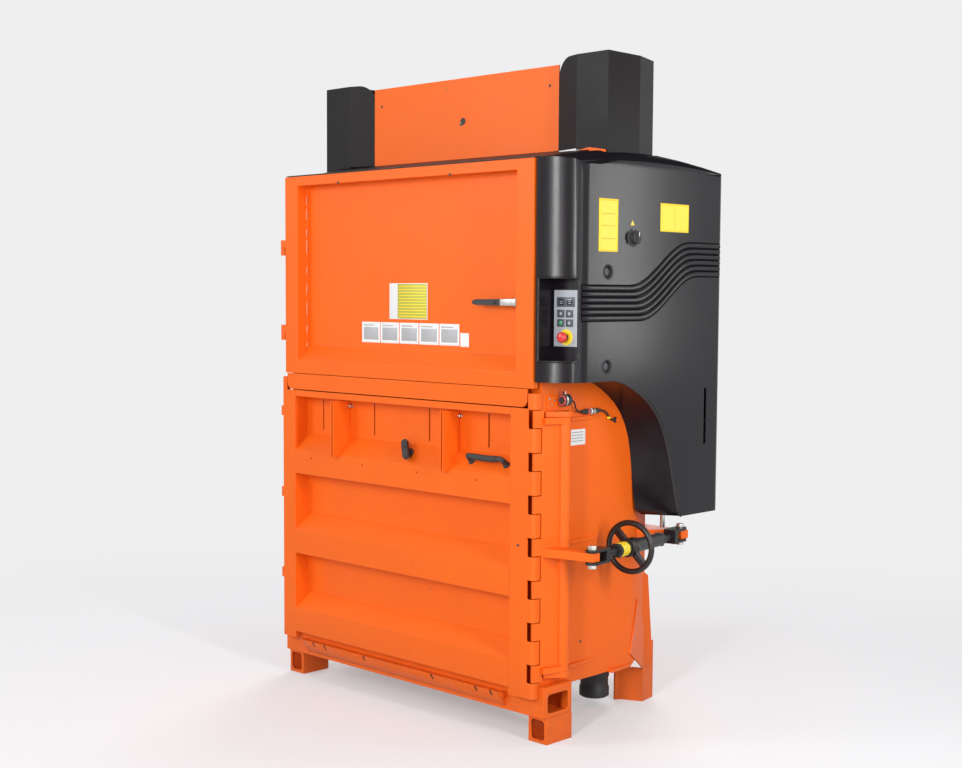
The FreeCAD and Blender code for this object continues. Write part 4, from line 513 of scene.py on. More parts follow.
    def wire(self, name: str, points: Sequence[Point], radius: float, steps: int = 8, around: int = 3,
            solid: bool = True) -> Obj:
        """A round bar or cable along a smooth line.

        Args:
            name: The piece's name.
            points: The line's control points in machine mm.
            radius: The bar's radius in mm.
            steps: Steps for each point.
            around: Steps for each quarter round the bar.
            solid: Whether it becomes a mesh. A cable stays a curve.

        Returns:
            The object.
        """
        self.clear()
        bpy.ops.curve.primitive_nurbs_path_add()
        obj = self.fresh(name)
        curve = obj.data
        curve.splines.clear()
        spline = curve.splines.new("NURBS")
        spline.points.add(len(points) - 1)
        for point, place in zip(spline.points, points):
            point.co = (*at(*place), 1.0)
        spline.order_u = 3
        spline.use_endpoint_u = True
        spline.resolution_u = steps
        curve.dimensions = "3D"
        curve.bevel_depth = radius / 1000
        curve.bevel_resolution = around
        curve.use_fill_caps = True
        if solid:
            self.take(obj)
            bpy.ops.object.convert(target="MESH")
        return obj

    def skin(self, node: str, y: float, z: float) -> float:
        """How far right a CAD piece's outer skin lies.

        Args:
            node: The CAD piece.
            y: mm behind the doors' front.
            z: mm above the sill.

        Returns:
            mm to the right of the middle.
        """
        if node not in self.skins:
            mesh = bpy.data.objects[node].data
            self.skins[node] = BVHTree.FromPolygons([v.co for v in mesh.vertices], [p.vertices for p in mesh.polygons])
        place = self.skins[node].ray_cast(at(BEYOND_SIDE, y, z), -RIGHT)[0]
        return machine(place).x if place else SIDE

    def bore(self, obj: Obj, tool: Obj) -> Obj:
        """Cuts one piece with another and removes the other.

        Args:
            obj: The piece.
            tool: What cuts it.

        Returns:
            The cut piece.
        """
        self.take(obj)
        cutter = obj.modifiers.new("bore", "BOOLEAN")
        cutter.operation, cutter.object, cutter.solver = "DIFFERENCE", tool, "EXACT"
        bpy.ops.object.modifier_apply(modifier=cutter.name)
        bpy.data.objects.remove(tool, do_unlink=True)
        return obj

    def repeat(self, obj: Obj, moves: Iterable[Point | Matrix]) -> list[Obj]:
        """Copies a piece, each copy with its own mesh.

        Args:
            obj: The piece.
            moves: The shift of each copy in mm, or its transform.

        Returns:
            The piece and its copies.
        """
        made = [obj]
        for move in moves:
            copy = obj.copy()
            copy.data = obj.data.copy()
            copy.data.transform(move if isinstance(move, Matrix) else Matrix.Translation(Vector(move) / 1000))
            bpy.context.scene.collection.objects.link(copy)
            made.append(copy)
        return made

    def finish(self, obj: Obj, finish: Finish, body: str = "frame", smooth: float = 35.0,
               copies: Sequence[Point | Matrix] = (), turn: Matrix | None = None) -> Obj:
        """Repeats and turns a piece where asked, and shades, paints and mounts it.

        Args:
            obj: The piece.
            finish: Its surface.
            body: The CAD body it moves with.
            smooth: Edges flatter than this, in degrees, are shaded smooth.
            copies: The shift in mm or the transform of each more of it.
            turn: Where it is taken from the place that it was built in.

        Returns:
            The finished object.
        """
        if copies:
            obj = self.join(obj.name, self.repeat(obj, copies))
        if turn is not None:
            obj.data.transform(turn)
        self.take(obj)
        bpy.ops.object.shade_smooth_by_angle(angle=math.radians(smooth))
        obj.data.materials.clear()
        obj.data.materials.append(finish.make())
        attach(obj, body)
        self.made += 1
        log.info("%s rides on %s", obj.name, body)
        return obj

    def lathe(self, name: str, outline: Outline, place: Point, finish: Finish, axis: Axis = Axis.Y, sides: int = 24,
              body: str = "frame", **fit: object) -> Obj:
        """A finished lathe piece.

        Args:
            name, outline, place, axis, sides: What turned takes.
            finish, body, fit: What finish takes.

        Returns:
            The object.
        """
        return self.finish(self.turned(name, outline, place, axis, sides), finish, body, **fit)

    def slab(self, name: str, low: Point, high: Point, bevel: float, finish: Finish, body: str = "frame",
             copies: Sequence[Point | Matrix] = (), panel: tuple[Vector, float, float] | None = None) -> Obj:
        """A finished block or plate.

        Args:
            name, low, high, bevel: What block takes.
            finish, body, copies: What finish takes.
            panel: What carve takes, where it has a panel.

        Returns:
            The object.
        """
        obj = self.block(name, low, high, bevel)
        return self.finish(self.carve(obj, *panel) if panel else obj, finish, body, copies=copies)

    def refine(self, node: str, finish: Finish, bevel: float = 0.8, smooth: float = 32.0, segments: int = 2,
               tools: Sequence[Obj] = (), shape: Callable[[Obj], None] | None = None,
               merge: float = 0.6) -> Obj:
        """A merged copy of a CAD piece with rounded edges, standing for it.

        Args:
            node: The CAD piece.
            finish: Its surface.
            bevel: Edge rounding in mm.
            smooth: Edges flatter than this, in degrees, are shaded smooth.
            segments: Rounding steps.
            tools: Pieces that cut wells and holes into it before its edges are rounded.
            shape: A last shaping step by hand before its edges are rounded.
            merge: Faces within this angle, in degrees, are merged first.

        Returns:
            The new piece.
        """
        source = bpy.data.objects[node]
        obj = source.copy()
        obj.data = source.data.copy()
        obj.parent = None
        for key in list(obj.keys()):
            del obj[key]
        obj.name = obj.data.name = node + "_dressed"
        bpy.context.scene.collection.objects.link(obj)
        self.take(obj)
        bpy.ops.object.mode_set(mode="EDIT")
        bpy.ops.mesh.select_all(action="SELECT")
        bpy.ops.mesh.remove_doubles(threshold=SAME_SPOT)
        if merge:
            bpy.ops.mesh.dissolve_limited(angle_limit=math.radians(merge))
        bpy.ops.object.mode_set(mode="OBJECT")
        if obj.data.has_custom_normals:
            bpy.ops.mesh.customdata_custom_splitnormals_clear()
        for tool in tools:
            self.bore(obj, tool)
        if shape:
            shape(obj)
        self.finish(self.round(obj, bevel, segments, REFINED_ANGLE), finish, source["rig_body"], smooth)
        level = obj.modifiers.new("flat_faces", "WEIGHTED_NORMAL")
        level.keep_sharp = True
        level.weight = FLAT_FACE_WEIGHT
        self.take(obj)
        bpy.ops.object.modifier_apply(modifier=level.name)
        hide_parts(node)
        return obj


# ---------------------------------------------------------------- the studio


@dataclass
class Studio:
    """The camera, the pale floor and the soft lights."""

    width: int = 962
    height: int = 768
    sensor: float = 36.0
    yaw: float = 44.231
    pitch: float = 4.2188
    roll: float = 0.34422
    focal: float = 1459.065
    middle: Pair = (483.46, 400.609)
    eye: Point = (3311.0, -3025.0, 269.4)
    pale: Colour = (0.86, 0.86, 0.87)
    floor_tone: Colour = (0.88, 0.88, 0.89)
    bounce_tone: Colour = (0.42, 0.42, 0.42)
    sky: Colour = (0.93, 0.95, 1.0)
    sky_strength: float = 0.42
    lamps: tuple[tuple, ...] = (
        ("front_left", (-2.6, -4.3, 2.8), (0.0, 0.0, 1.3), (1.5, 2.0), 80.0),
        ("front", (2.15, -4.93, 1.9), (0.0, 0.0, 1.3), (0.42, 2.8), 160.0),
        ("side", (4.7, -1.05, 2.1), (0.2, 0.1, 1.2), (0.3, 2.6), 118.0),
        ("rim", (1.54, 1.0, 1.46), (0.6, -0.16, 1.4), (0.18, 0.9), 5.0),
        ("back", (-2.6, 3.6, 3.4), (0.0, 0.0, 1.2), (2.4, 2.4), 110.0),
    )

    def camera(self) -> None:
        """Sets the camera that the photograph was taken with."""
        yaw, pitch, roll = (math.radians(v) for v in (self.yaw, self.pitch, self.roll))
        ahead = Vector((-math.sin(yaw) * math.cos(pitch), math.cos(yaw) * math.cos(pitch), -math.sin(pitch)))
        right = Vector((math.cos(yaw), math.sin(yaw), 0.0))
        up = right.cross(ahead)
        across = right * math.cos(roll) + up * math.sin(roll)
        above = up * math.cos(roll) - right * math.sin(roll)
        data = bpy.data.cameras.new("photo_camera")
        data.sensor_width, data.sensor_fit = self.sensor, "HORIZONTAL"
        data.lens = self.focal * self.sensor / self.width
        data.shift_x = (self.width / 2 - self.middle[0]) / self.width
        data.shift_y = (self.middle[1] - self.height / 2) / self.width
        data.clip_end = 60.0
        camera = bpy.data.objects.new("photo_camera", data)
        place = Matrix((across, above, -ahead)).transposed().to_4x4()
        place.translation = at(*self.eye)
        camera.matrix_world = place
        bpy.context.scene.collection.objects.link(camera)
        bpy.context.scene.camera = camera

    def lamp(self, name: str, place: Point, aim: Point, size: Pair, power: float) -> None:
        """An oblong soft light.

        Args:
            name: Its name.
            place: Where it hangs, in row-frame metres.
            aim: What it faces, in row-frame metres.
            size: Its width and height in metres.
            power: Its power in watts.
        """
        data = bpy.data.lights.new(name, "AREA")
        data.shape = "RECTANGLE"
        data.size, data.size_y, data.energy = *size, power
        lamp = bpy.data.objects.new(name, data)
        facing = (Vector(aim) - Vector(place)).to_track_quat("-Z", "Y").to_matrix().to_4x4()
        lamp.matrix_world = Matrix.Translation(place) @ facing
        lamp.visible_camera = False
        bpy.context.scene.collection.objects.link(lamp)

    def floor_material(self) -> bpy.types.Material:
        """A pale floor that shows nearly white where it is seen and keeps its shadow.

        Returns:
            The material.
        """
        material = bpy.data.materials.new("pale_floor")
        material.use_nodes = True
        shader = material.node_tree.nodes["Principled BSDF"]
        shader.inputs["Roughness"].default_value = 0.9
        shader.inputs["Specular IOR Level"].default_value = 0.05
        fill(material.node_tree, {
            **SEEN, "where": ("TexCoord",), "far": ("VectorMath", {}, {"operation": "LENGTH"}), "share": MULTIPLY,
            "fade": ("MapRange", {"From Min": 0.8, "From Max": 3.6, "To Min": 0.35},
                    {"interpolation_type": "SMOOTHSTEP"}),
            "bounce": ("Mix", {6: (*self.floor_tone, 1.0), 7: (*self.bounce_tone, 1.0)}, RGBA),
            "glow": ("Emission", {"Color": (*self.pale, 1.0)}), "mix": ("MixShader",),
        }, SEEN_LINKS + "where.Object > far.0, far.Value > fade.Value, fade.Result > share.0, seen.Value > share.1, "
           "path.Is Diffuse Ray > bounce.0, bounce.2 > Principled BSDF.Base Color, share.Value > mix.Fac, "
           "Principled BSDF.BSDF > mix.1, glow.Emission > mix.2, mix.Shader > Material Output.Surface")
        return material

    def world(self) -> None:
        """An even dim light all round, which shows as pale where it is seen."""
        world = bpy.context.scene.world = bpy.data.worlds.new("studio")
        world.use_nodes = True
        light = world.node_tree.nodes["Background"]
        light.inputs["Color"].default_value = (*self.sky, 1.0)
        light.inputs["Strength"].default_value = self.sky_strength
        fill(world.node_tree, {
            **SEEN, "pale": ("Background", {"Color": (*self.pale, 1.0), "Strength": 1.0}), "mix": ("MixShader",),
        }, SEEN_LINKS + "seen.Value > mix.Fac, Background.Background > mix.1, pale.Background > mix.2, "
           "mix.Shader > World Output.Surface")

    def build(self) -> None:
        """Builds the camera, floor, world and lights."""
        self.camera()
        bpy.ops.object.select_all(action="DESELECT")
        bpy.ops.mesh.primitive_plane_add(size=40.0, location=(0, 0, 0))
        floor = bpy.context.active_object
        floor.name = "floor"
        floor.data.materials.append(self.floor_material())
        bpy.context.scene.view_settings.view_transform = "Standard"
        self.world()
        for lamp in self.lamps:
            self.lamp(*lamp)


# ---------------------------------------------------------------- the baler's own pieces


@dataclass
class Pieces:
    """A group of pieces and the bench that makes them."""

    bench: Bench


class Cell(Enum):
    """The cells of the baling door, from the left, by their strap slots' middle in mm."""

    FIRST = -423.0
    SECOND = -169.3
    THIRD = 84.4
    FOURTH = 338.1


@dataclass
class FeedDoor(Pieces):
    """The pan-shaped feed door with its bare plates, weld beads and latch."""

    body: str = "feed_door"
    pan: float = 42.0
    plate: float = 0.9
    ruled_x: Point = (-86.0, -48.0, 85.0)
    ruled_z: Pair = (187.0, 298.0)
    rows: int = 11
    strip_left: float = -216.0
    strip_pitch: float = 88.6
    strip_fields: int = 5
    strip_z: Pair = (111.0, 176.0)
    small_x: Pair = (228.0, 264.0)
    small_z: Pair = (109.0, 150.0)
    beads: tuple[Pair, ...] = ((556, 26), (508, 34), (452, 22), (396, 44), (330, 20), (262, 30), (196, 38), (134, 24),
            (84, 18))

    def build(self) -> None:
        """Dresses the door and all that is on it."""
        b = self.bench
        b.refine("feed_door_panel", ORANGE, 1.6, 32, 3)
        b.refine("feed_door_hinges", ORANGE)
        self.ruled_plate()
        self.field_strip()
        self.weld_beads()
        b.lathe("flange_plugs", [(4.6, 0.3), (4.6, -0.5), (3.6, -0.9), (1.2, -0.4)], (-285, 0, 616), BLACK,
                body=self.body, copies=[(508, 0, 0)])
        self.latch()

    def ruled_plate(self) -> None:
        """The plate with a white margin and a field of plain rules."""
        b, face, (left, split, right), (low, high) = self.bench, self.pan - self.plate, self.ruled_x, self.ruled_z
        b.slab("ruled_plate_margin", (left, face, low), (right, self.pan + 0.3, high), 0.3, WHITE, self.body)
        b.slab("ruled_plate_field", (split, face - 0.4, low + 2), (right - 2, face + 0.2, high - 2), 0.15, OLIVE,
                self.body)
        pitch = (high - low - 10) / self.rows
        b.slab("ruled_plate_rules", (split + 5, face - 0.8, low + 7), (right - 6, face - 0.2, low + 7 + pitch * 0.42),
                0.15, YELLOW, self.body, [(0, 0, pitch * i) for i in range(1, self.rows)])

    def field_strip(self) -> None:
        """Five bare white fields in a row and a small plate beside them."""
        b, face, back = self.bench, self.pan - self.plate, self.pan + 0.3
        left, right, (low, high) = self.strip_left, self.strip_left + self.strip_pitch, self.strip_z
        moves = [(self.strip_pitch * i, 0, 0) for i in range(1, self.strip_fields)]
        b.slab("strip_fields", (left, face, low), (right - 3.4, back, high), 0.3, WHITE, self.body, moves,
                (FRONT, 4.5, -0.25))
        panel = b.block("strip_panels", (left + 8, face + 0.02, low + 9), (right - 11, face + 0.5, high - 16), 0.1)
        bar = b.block("strip_bar", (left + 8, face + 0.02, high - 12), (right - 30, face + 0.5, high - 8), 0.1)
        b.finish(b.join("strip_panels", [panel, bar]), PALE_GREY, self.body, copies=moves)
        (x_0, x_1), (z_0, z_1) = self.small_x, self.small_z
        b.slab("small_plate", (x_0, face, z_0), (x_1, back, z_1), 0.3, WHITE, self.body, panel=(FRONT, 5.0, -0.3))

    def weld_beads(self) -> None:
        """Bare weld beads down the pan's left wall."""
        beads = []
        for low, length in self.beads:
            line = [(-491.6, 39.5, low), (-490.6, 38.2, low + length * 0.3), (-491.2, 39.2, low + length * 0.7),
                    (-491.6, 39.5, low + length)]
            beads.append(self.bench.wire(f"bead_{low:.0f}", line, 1.9, 4, 2))
        self.bench.finish(self.bench.join("pan_weld_beads", beads), WELD, self.body)

    def latch(self) -> None:
        """The black latch lever, its bright pivot and plate, and the grey catch."""
        b, body = self.bench, "latch"
        b.refine("latch_lever", BLACK, 3.2, 40, 4)
        b.refine("latch_bracket", PALE_GREY, 1.4)
        b.lathe("latch_pivot_cap", [(7.2, 0.5), (7.2, -1.6), (6.2, -2.6), (3.4, -2.9), (3.0, -1.9), (0.6, -1.9)],
                (468, 10, 243), ZINC, sides=32, body=body)
        b.slab("latch_lever_plate", (420, 9.0, 233.5), (482, 11.0, 252.5), 0.8, ZINC, body)
        b.lathe("latch_lever_screw", [(6.0, 0.5), (6.0, -1.4), (4.8, -2.2), (2.2, -2.4), (1.6, -1.4), (0.6, -1.4)],
                (400, 10, 243), FORGED, body=body)
        b.slab("latch_lever_inlay", (322, 9.2, 240.6), (388, 10.6, 245.4), 0.5, BLACK_PAINT, body,
                panel=(FRONT, 1.0, -0.4))


@dataclass
class BaleDoor(Pieces):
    """The fluted baling door with its handles, strap brackets and stiles."""

    body: str = "bale_door"
    slope_y: float = 26.5
    slope_z: float = -227.5
    slope_turn: float = 47.08
    pull_left: float = 287.0
    pull_width: float = 157.0
    pull_reach: float = 30.0
    rotary_x: float = 23.0

    def build(self) -> None:
        """Dresses the door and all that is on it."""
        b = self.bench
        b.refine("bale_door_panel", ORANGE, 2.2, 32, 3)
        b.refine("bale_hinge_stile", ORANGE, 1.6)
        b.refine("bale_lock_stile", ORANGE, 1.6, merge=0.0)
        b.refine("bale_door_hinges", ORANGE)
        b.refine("strap_brackets", ORANGE, 1.2)
        b.refine("rotary_handle_base", BLACK)
        b.refine("rotary_handle", BLACK, 3.6, 40, 4)
        b.lathe("rotary_hub_cap", [(7.5, -0.6), (7.5, 1.0), (6.0, 2.2), (0.8, 2.6)], (0, 0, 30), BLACK_PAINT, Axis.Z,
                32, "rotary", turn=self.on_slope(self.rotary_x))
        peg = [(6.5, 0.4), (6.5, -3.0), (4.2, -4.0), (4.2, -10.0), (5.8, -11.0), (5.8, -13.0), (4.0, -14.2),
                (0.8, -14.4)]
        b.lathe("cell_pegs", peg, (-279, 53, -98), ZINC, body=self.body, copies=[(501, 0, 0)])
        self.pull()
        self.slot_marks()
        b.lathe("stile_plug", [(4.2, 0.3), (4.2, -0.5), (3.2, -0.9), (1.0, -0.5)], (507, 0, -448), BLACK,
                body=self.body)

    def on_slope(self, x: float) -> Matrix:
        """The move from the machine's zero to the slope over the upper flute.

        Args:
            x: mm to the right on it.

        Returns:
            The transform.
        """
        return turn_about(self.slope_turn, "X", base=(x, self.slope_y, self.slope_z))

    def pull(self) -> None:
        """The black bow handle with its swollen grip and two feet."""
        b, w, r = self.bench, self.pull_width, self.pull_reach
        half = [(8, 0, 0), (8, 0, 12), (9, 0, r - 2), (20, 0, r), (34, 0, r - 4)]
        bow = b.wire("pull_bow", half + [(w / 2, 0, r - 6)] + [(w - x, y, z) for x, y, z in reversed(half)], 7.6, 8, 4)
        grip = b.wire("pull_grip", [(30, 0, r - 3), (44, 0, r - 5), (w / 2, 0, r - 6), (w - 44, 0, r - 5),
                (w - 30, 0, r - 3)], 9.4, 8, 4)
        b.round(grip, 2.4, 3, 60)
        feet = [b.turned(f"pull_foot_{i}", [(11.0, 0.0), (11.0, 2.0), (9.0, 6.0), (7.6, 10.0)], (x, 0, 0), sides=32)
                for i, x in enumerate((8, w - 8))]
        piece = b.join("pull_handle_bow", [bow, grip, *feet])
        b.finish(piece, BLACK, self.body, 50, turn=self.on_slope(self.pull_left))
        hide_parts("pull_handle")

    def slot_marks(self) -> None:
        """Bare weld spots at the tops of the strap slots."""
        b, spots = self.bench, []
        for cell in Cell:
            for i, (dx, z, w) in enumerate(((0.0, -83.0, 7.0), (-5.5, -88.0, 3.0), (6.5, -92.0, 2.6))):
                x = cell.value + dx
                spots.append(b.wire(f"spot_{cell.name}_{i}", [(x - w, 52.8, z), (x, 52.2, z + 1.5), (x + w, 52.8, z)],
                        1.2, 4, 2))
        b.finish(b.join("slot_weld_spots", spots), WELD, self.body)


@dataclass
class LockSide(Pieces):
    """The toothed column, its lever and turnbuckle, and the safety sensor with its cable."""

    anchor: Point = (642.0, 587.0, -466.5)
    along: Point = (0.1384, -0.9904, 0.0)
    wheel: float = 300.0
    wheel_radius: float = 80.0
    rim: float = 8.5
    wall: float = 562.0
    grooves: Point = (340.0, 350.0, 360.0)
    band_marks: int = 9
    mark_shift: float = 0.0205

    def build(self) -> None:
        """Dresses the lock and the sensor."""
        b = self.bench
        for node, bevel in (("locking_column", 1.2), ("column_brackets", 1.4), ("lever_arm", 2.0),
                ("rear_anchor_arm", 2.0), ("interlock_bracket", 0.8), ("frame_hinges", 0.8)):
            b.refine(node, ORANGE, bevel)
        for node, finish, bevel, steps in (("front_fork", FORGED, 2.0, 3), ("rear_fork", FORGED, 2.0, 3),
                ("front_fork_bolt", ZINC, 1.2, 2), ("rear_fork_bolt", ZINC, 1.2, 2),
                ("turnbuckle_tube", BLACK_PAINT, 1.2, 2)):
            b.refine(node, finish, bevel, 40, steps)
        self.hand_wheel()
        self.tube_fittings()
        self.sensor()
        self.cables()
        self.wall_plate()

    def on_tube(self, reach: float = 0.0) -> Matrix:
        """The move of a piece built along +X from the machine's zero to the turnbuckle.

        Args:
            reach: mm along the turnbuckle from its anchor.

        Returns:
            The transform.
        """
        along = Vector(self.along)
        return turn_about(math.degrees(math.atan2(along.y, along.x)), "Z",
                base=tuple(Vector(self.anchor) + along * reach))

    def hand_wheel(self) -> None:
        """The round-rimmed wheel with its bar spoke and hub."""
        b, inner = self.bench, self.wheel_radius - 12
        rim = b.ring("wheel_rim", self.wheel_radius - self.rim, self.rim, ZERO, Axis.X, 72, 16)
        half = [(25.5, -22), (27, -20), (27, -8), (24, -5)]
        hub = b.turned("wheel_hub", half + [(r, -h) for r, h in reversed(half)], ZERO, Axis.X)
        spoke = b.block("wheel_spoke", (-5.0, -inner, -12), (5.0, inner, 12), 3.6, 3)
        spoke.data.transform(turn_about(-45, "X"))
        piece = b.join("wheel_dressed", [rim, hub, spoke])
        b.finish(piece, WHEEL, "turnbuckle", 40, turn=self.on_tube(self.wheel))
        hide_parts("handwheel")

    def tube_fittings(self) -> None:
        """The yellow band with its grooves and marks, and the end collars of the turnbuckle."""
        b, body = self.bench, "turnbuckle"
        outline = [(20.0, 330), (21.2, 331)]
        for groove in self.grooves:
            outline += [(21.2, groove - 2), (20.4, groove - 1), (20.4, groove + 1), (21.2, groove + 2)]
        outline += [(21.2, 366), (20.0, 367)]
        b.lathe("yellow_band", outline, ZERO, YELLOW, Axis.X, 40, body, smooth=30, turn=self.on_tube())
        turns = [turn_about(360 / self.band_marks * i, "X") for i in range(self.band_marks)]
        marks = [turn @ Matrix.Translation((shift, 0, 0)) for turn in turns for shift in (0.0, self.mark_shift)]
        b.finish(b.block("band_marks", (333, -1.2, 20.6), (336, 1.2, 21.6), 0.3), RUBBER_AND_NOTCH_SHADE, body, 30, marks[1:],
                self.on_tube())
        for i, (low, high) in enumerate(((120.5, 134.0), (368.2, 380.0))):
            b.lathe(f"tube_collar_{i}", [(18.0, low), (22.4, low + 1.0), (22.4, high - 1.0), (18.0, high)], ZERO,
                    FORGED, Axis.X, 6, body, smooth=30, turn=self.on_tube())

    def sensor(self) -> None:
        """The red sensor with its bright curved shield and screws."""
        b = self.bench
        b.refine("interlock_sensor", BLACK)
        b.lathe("sensor_face", [(14.5, 0.4), (14.5, -1.4), (13.0, -2.2), (8.5, -2.2), (8.0, -1.2), (0.8, -1.2)],
                (583, 99, -34), SENSOR_RED, sides=36)
        shield = b.ring("sensor_shield", 17.5, 2.2, (583, 104, -34), Axis.Y, 48, 10)
        lug = b.block("sensor_lug", (575, 102.6, -18), (592, 105.4, -8), 1.0, 3)
        b.finish(b.join("sensor_shield", [shield, lug]), ZINC)
        b.lathe("sensor_lug_eye", [(2.6, 0.2), (2.6, -0.4), (0.6, -0.3)], (584, 102.6, -12.6), BLACK, sides=20)
        b.lathe("bracket_screws", [(3.6, -0.2), (3.6, 2.2), (2.8, 3.0), (0.6, 3.2)], (566, 62, -30), ZINC, Axis.X, 6,
                copies=[(0, 10, -16), (0, 22, -4)])

    def cables(self) -> None:
        """The two short free cables beside the wall, as curves, and the connector's rings."""
        b = self.bench
        runs = {
            "sensor_cable": ([(583.0, 125.0, -34.0), (583.0, 151.0, -34.0), (570.3, 175.0, -73.0),
                    (570.3, 201.0, -73.0)], 0.0952),
            "connector_cable": ([(570.3, 283.0, -73.0), (570.3, 309.0, -73.0), (567.0, 334.0, -106.0),
                    (567.0, 360.0, -106.0)], 0.0901),
        }
        for node, (points, length) in runs.items():
            cord = b.wire(node + "_sheath", points, 2.5, 24, 4, solid=False)
            cord.data.materials.append(CABLE.make())
            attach(cord, "frame")
            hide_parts(node)
        b.refine("cable_connector", BLACK, 0.6, 40)
        for name, finish, y in (("connector_red_ring", SENSOR_RED, 224.0), ("connector_white_ring", WHITE, 236.0)):
            b.lathe(name, [(8.0, 0), (8.6, 0.8), (8.6, 5.2), (8.0, 6)], (570.3, y, -73.0), finish, sides=32)
        b.lathe("cable_grommet", [(9.0, -0.4), (9.0, 1.6), (7.6, 3.6), (5.2, 6.6), (3.0, 7.4)], (562, 362, -106),
                RUBBER_AND_NOTCH_SHADE, Axis.X, 32, smooth=40)
        b.lathe("cable_tag", [(3.4, 0), (4.2, 0.6), (4.2, 9.4), (3.4, 10)], (567.7, 322, -97.5), YELLOW, sides=20)
        b.lathe("connector_nut", [(8.2, 0), (9.0, 0.8), (9.0, 11), (8.2, 12)], (570.3, 246, -73.0), ZINC, sides=8)

    def wall_plate(self) -> None:
        """The bare white plate on the wall behind the column, and a plug in the wall."""
        b, wall = self.bench, self.wall
        b.slab("wall_plate", (wall - 0.3, 156, -170), (wall + 0.8, 226, -124), 0.3, WHITE, panel=(RIGHT, 3.0, -0.25))
        b.slab("wall_plate_rows", (wall + 0.5, 162, -134), (wall + 0.9, 216, -131), 0.1, PALE_GREY,
                copies=[(0, 0, -8.5 * i) for i in range(1, 4)])
        b.lathe("wall_plug", [(4.0, -0.3), (4.0, 0.5), (3.0, 0.9), (0.8, 0.6)], (wall, 214, -753), BLACK, Axis.X)


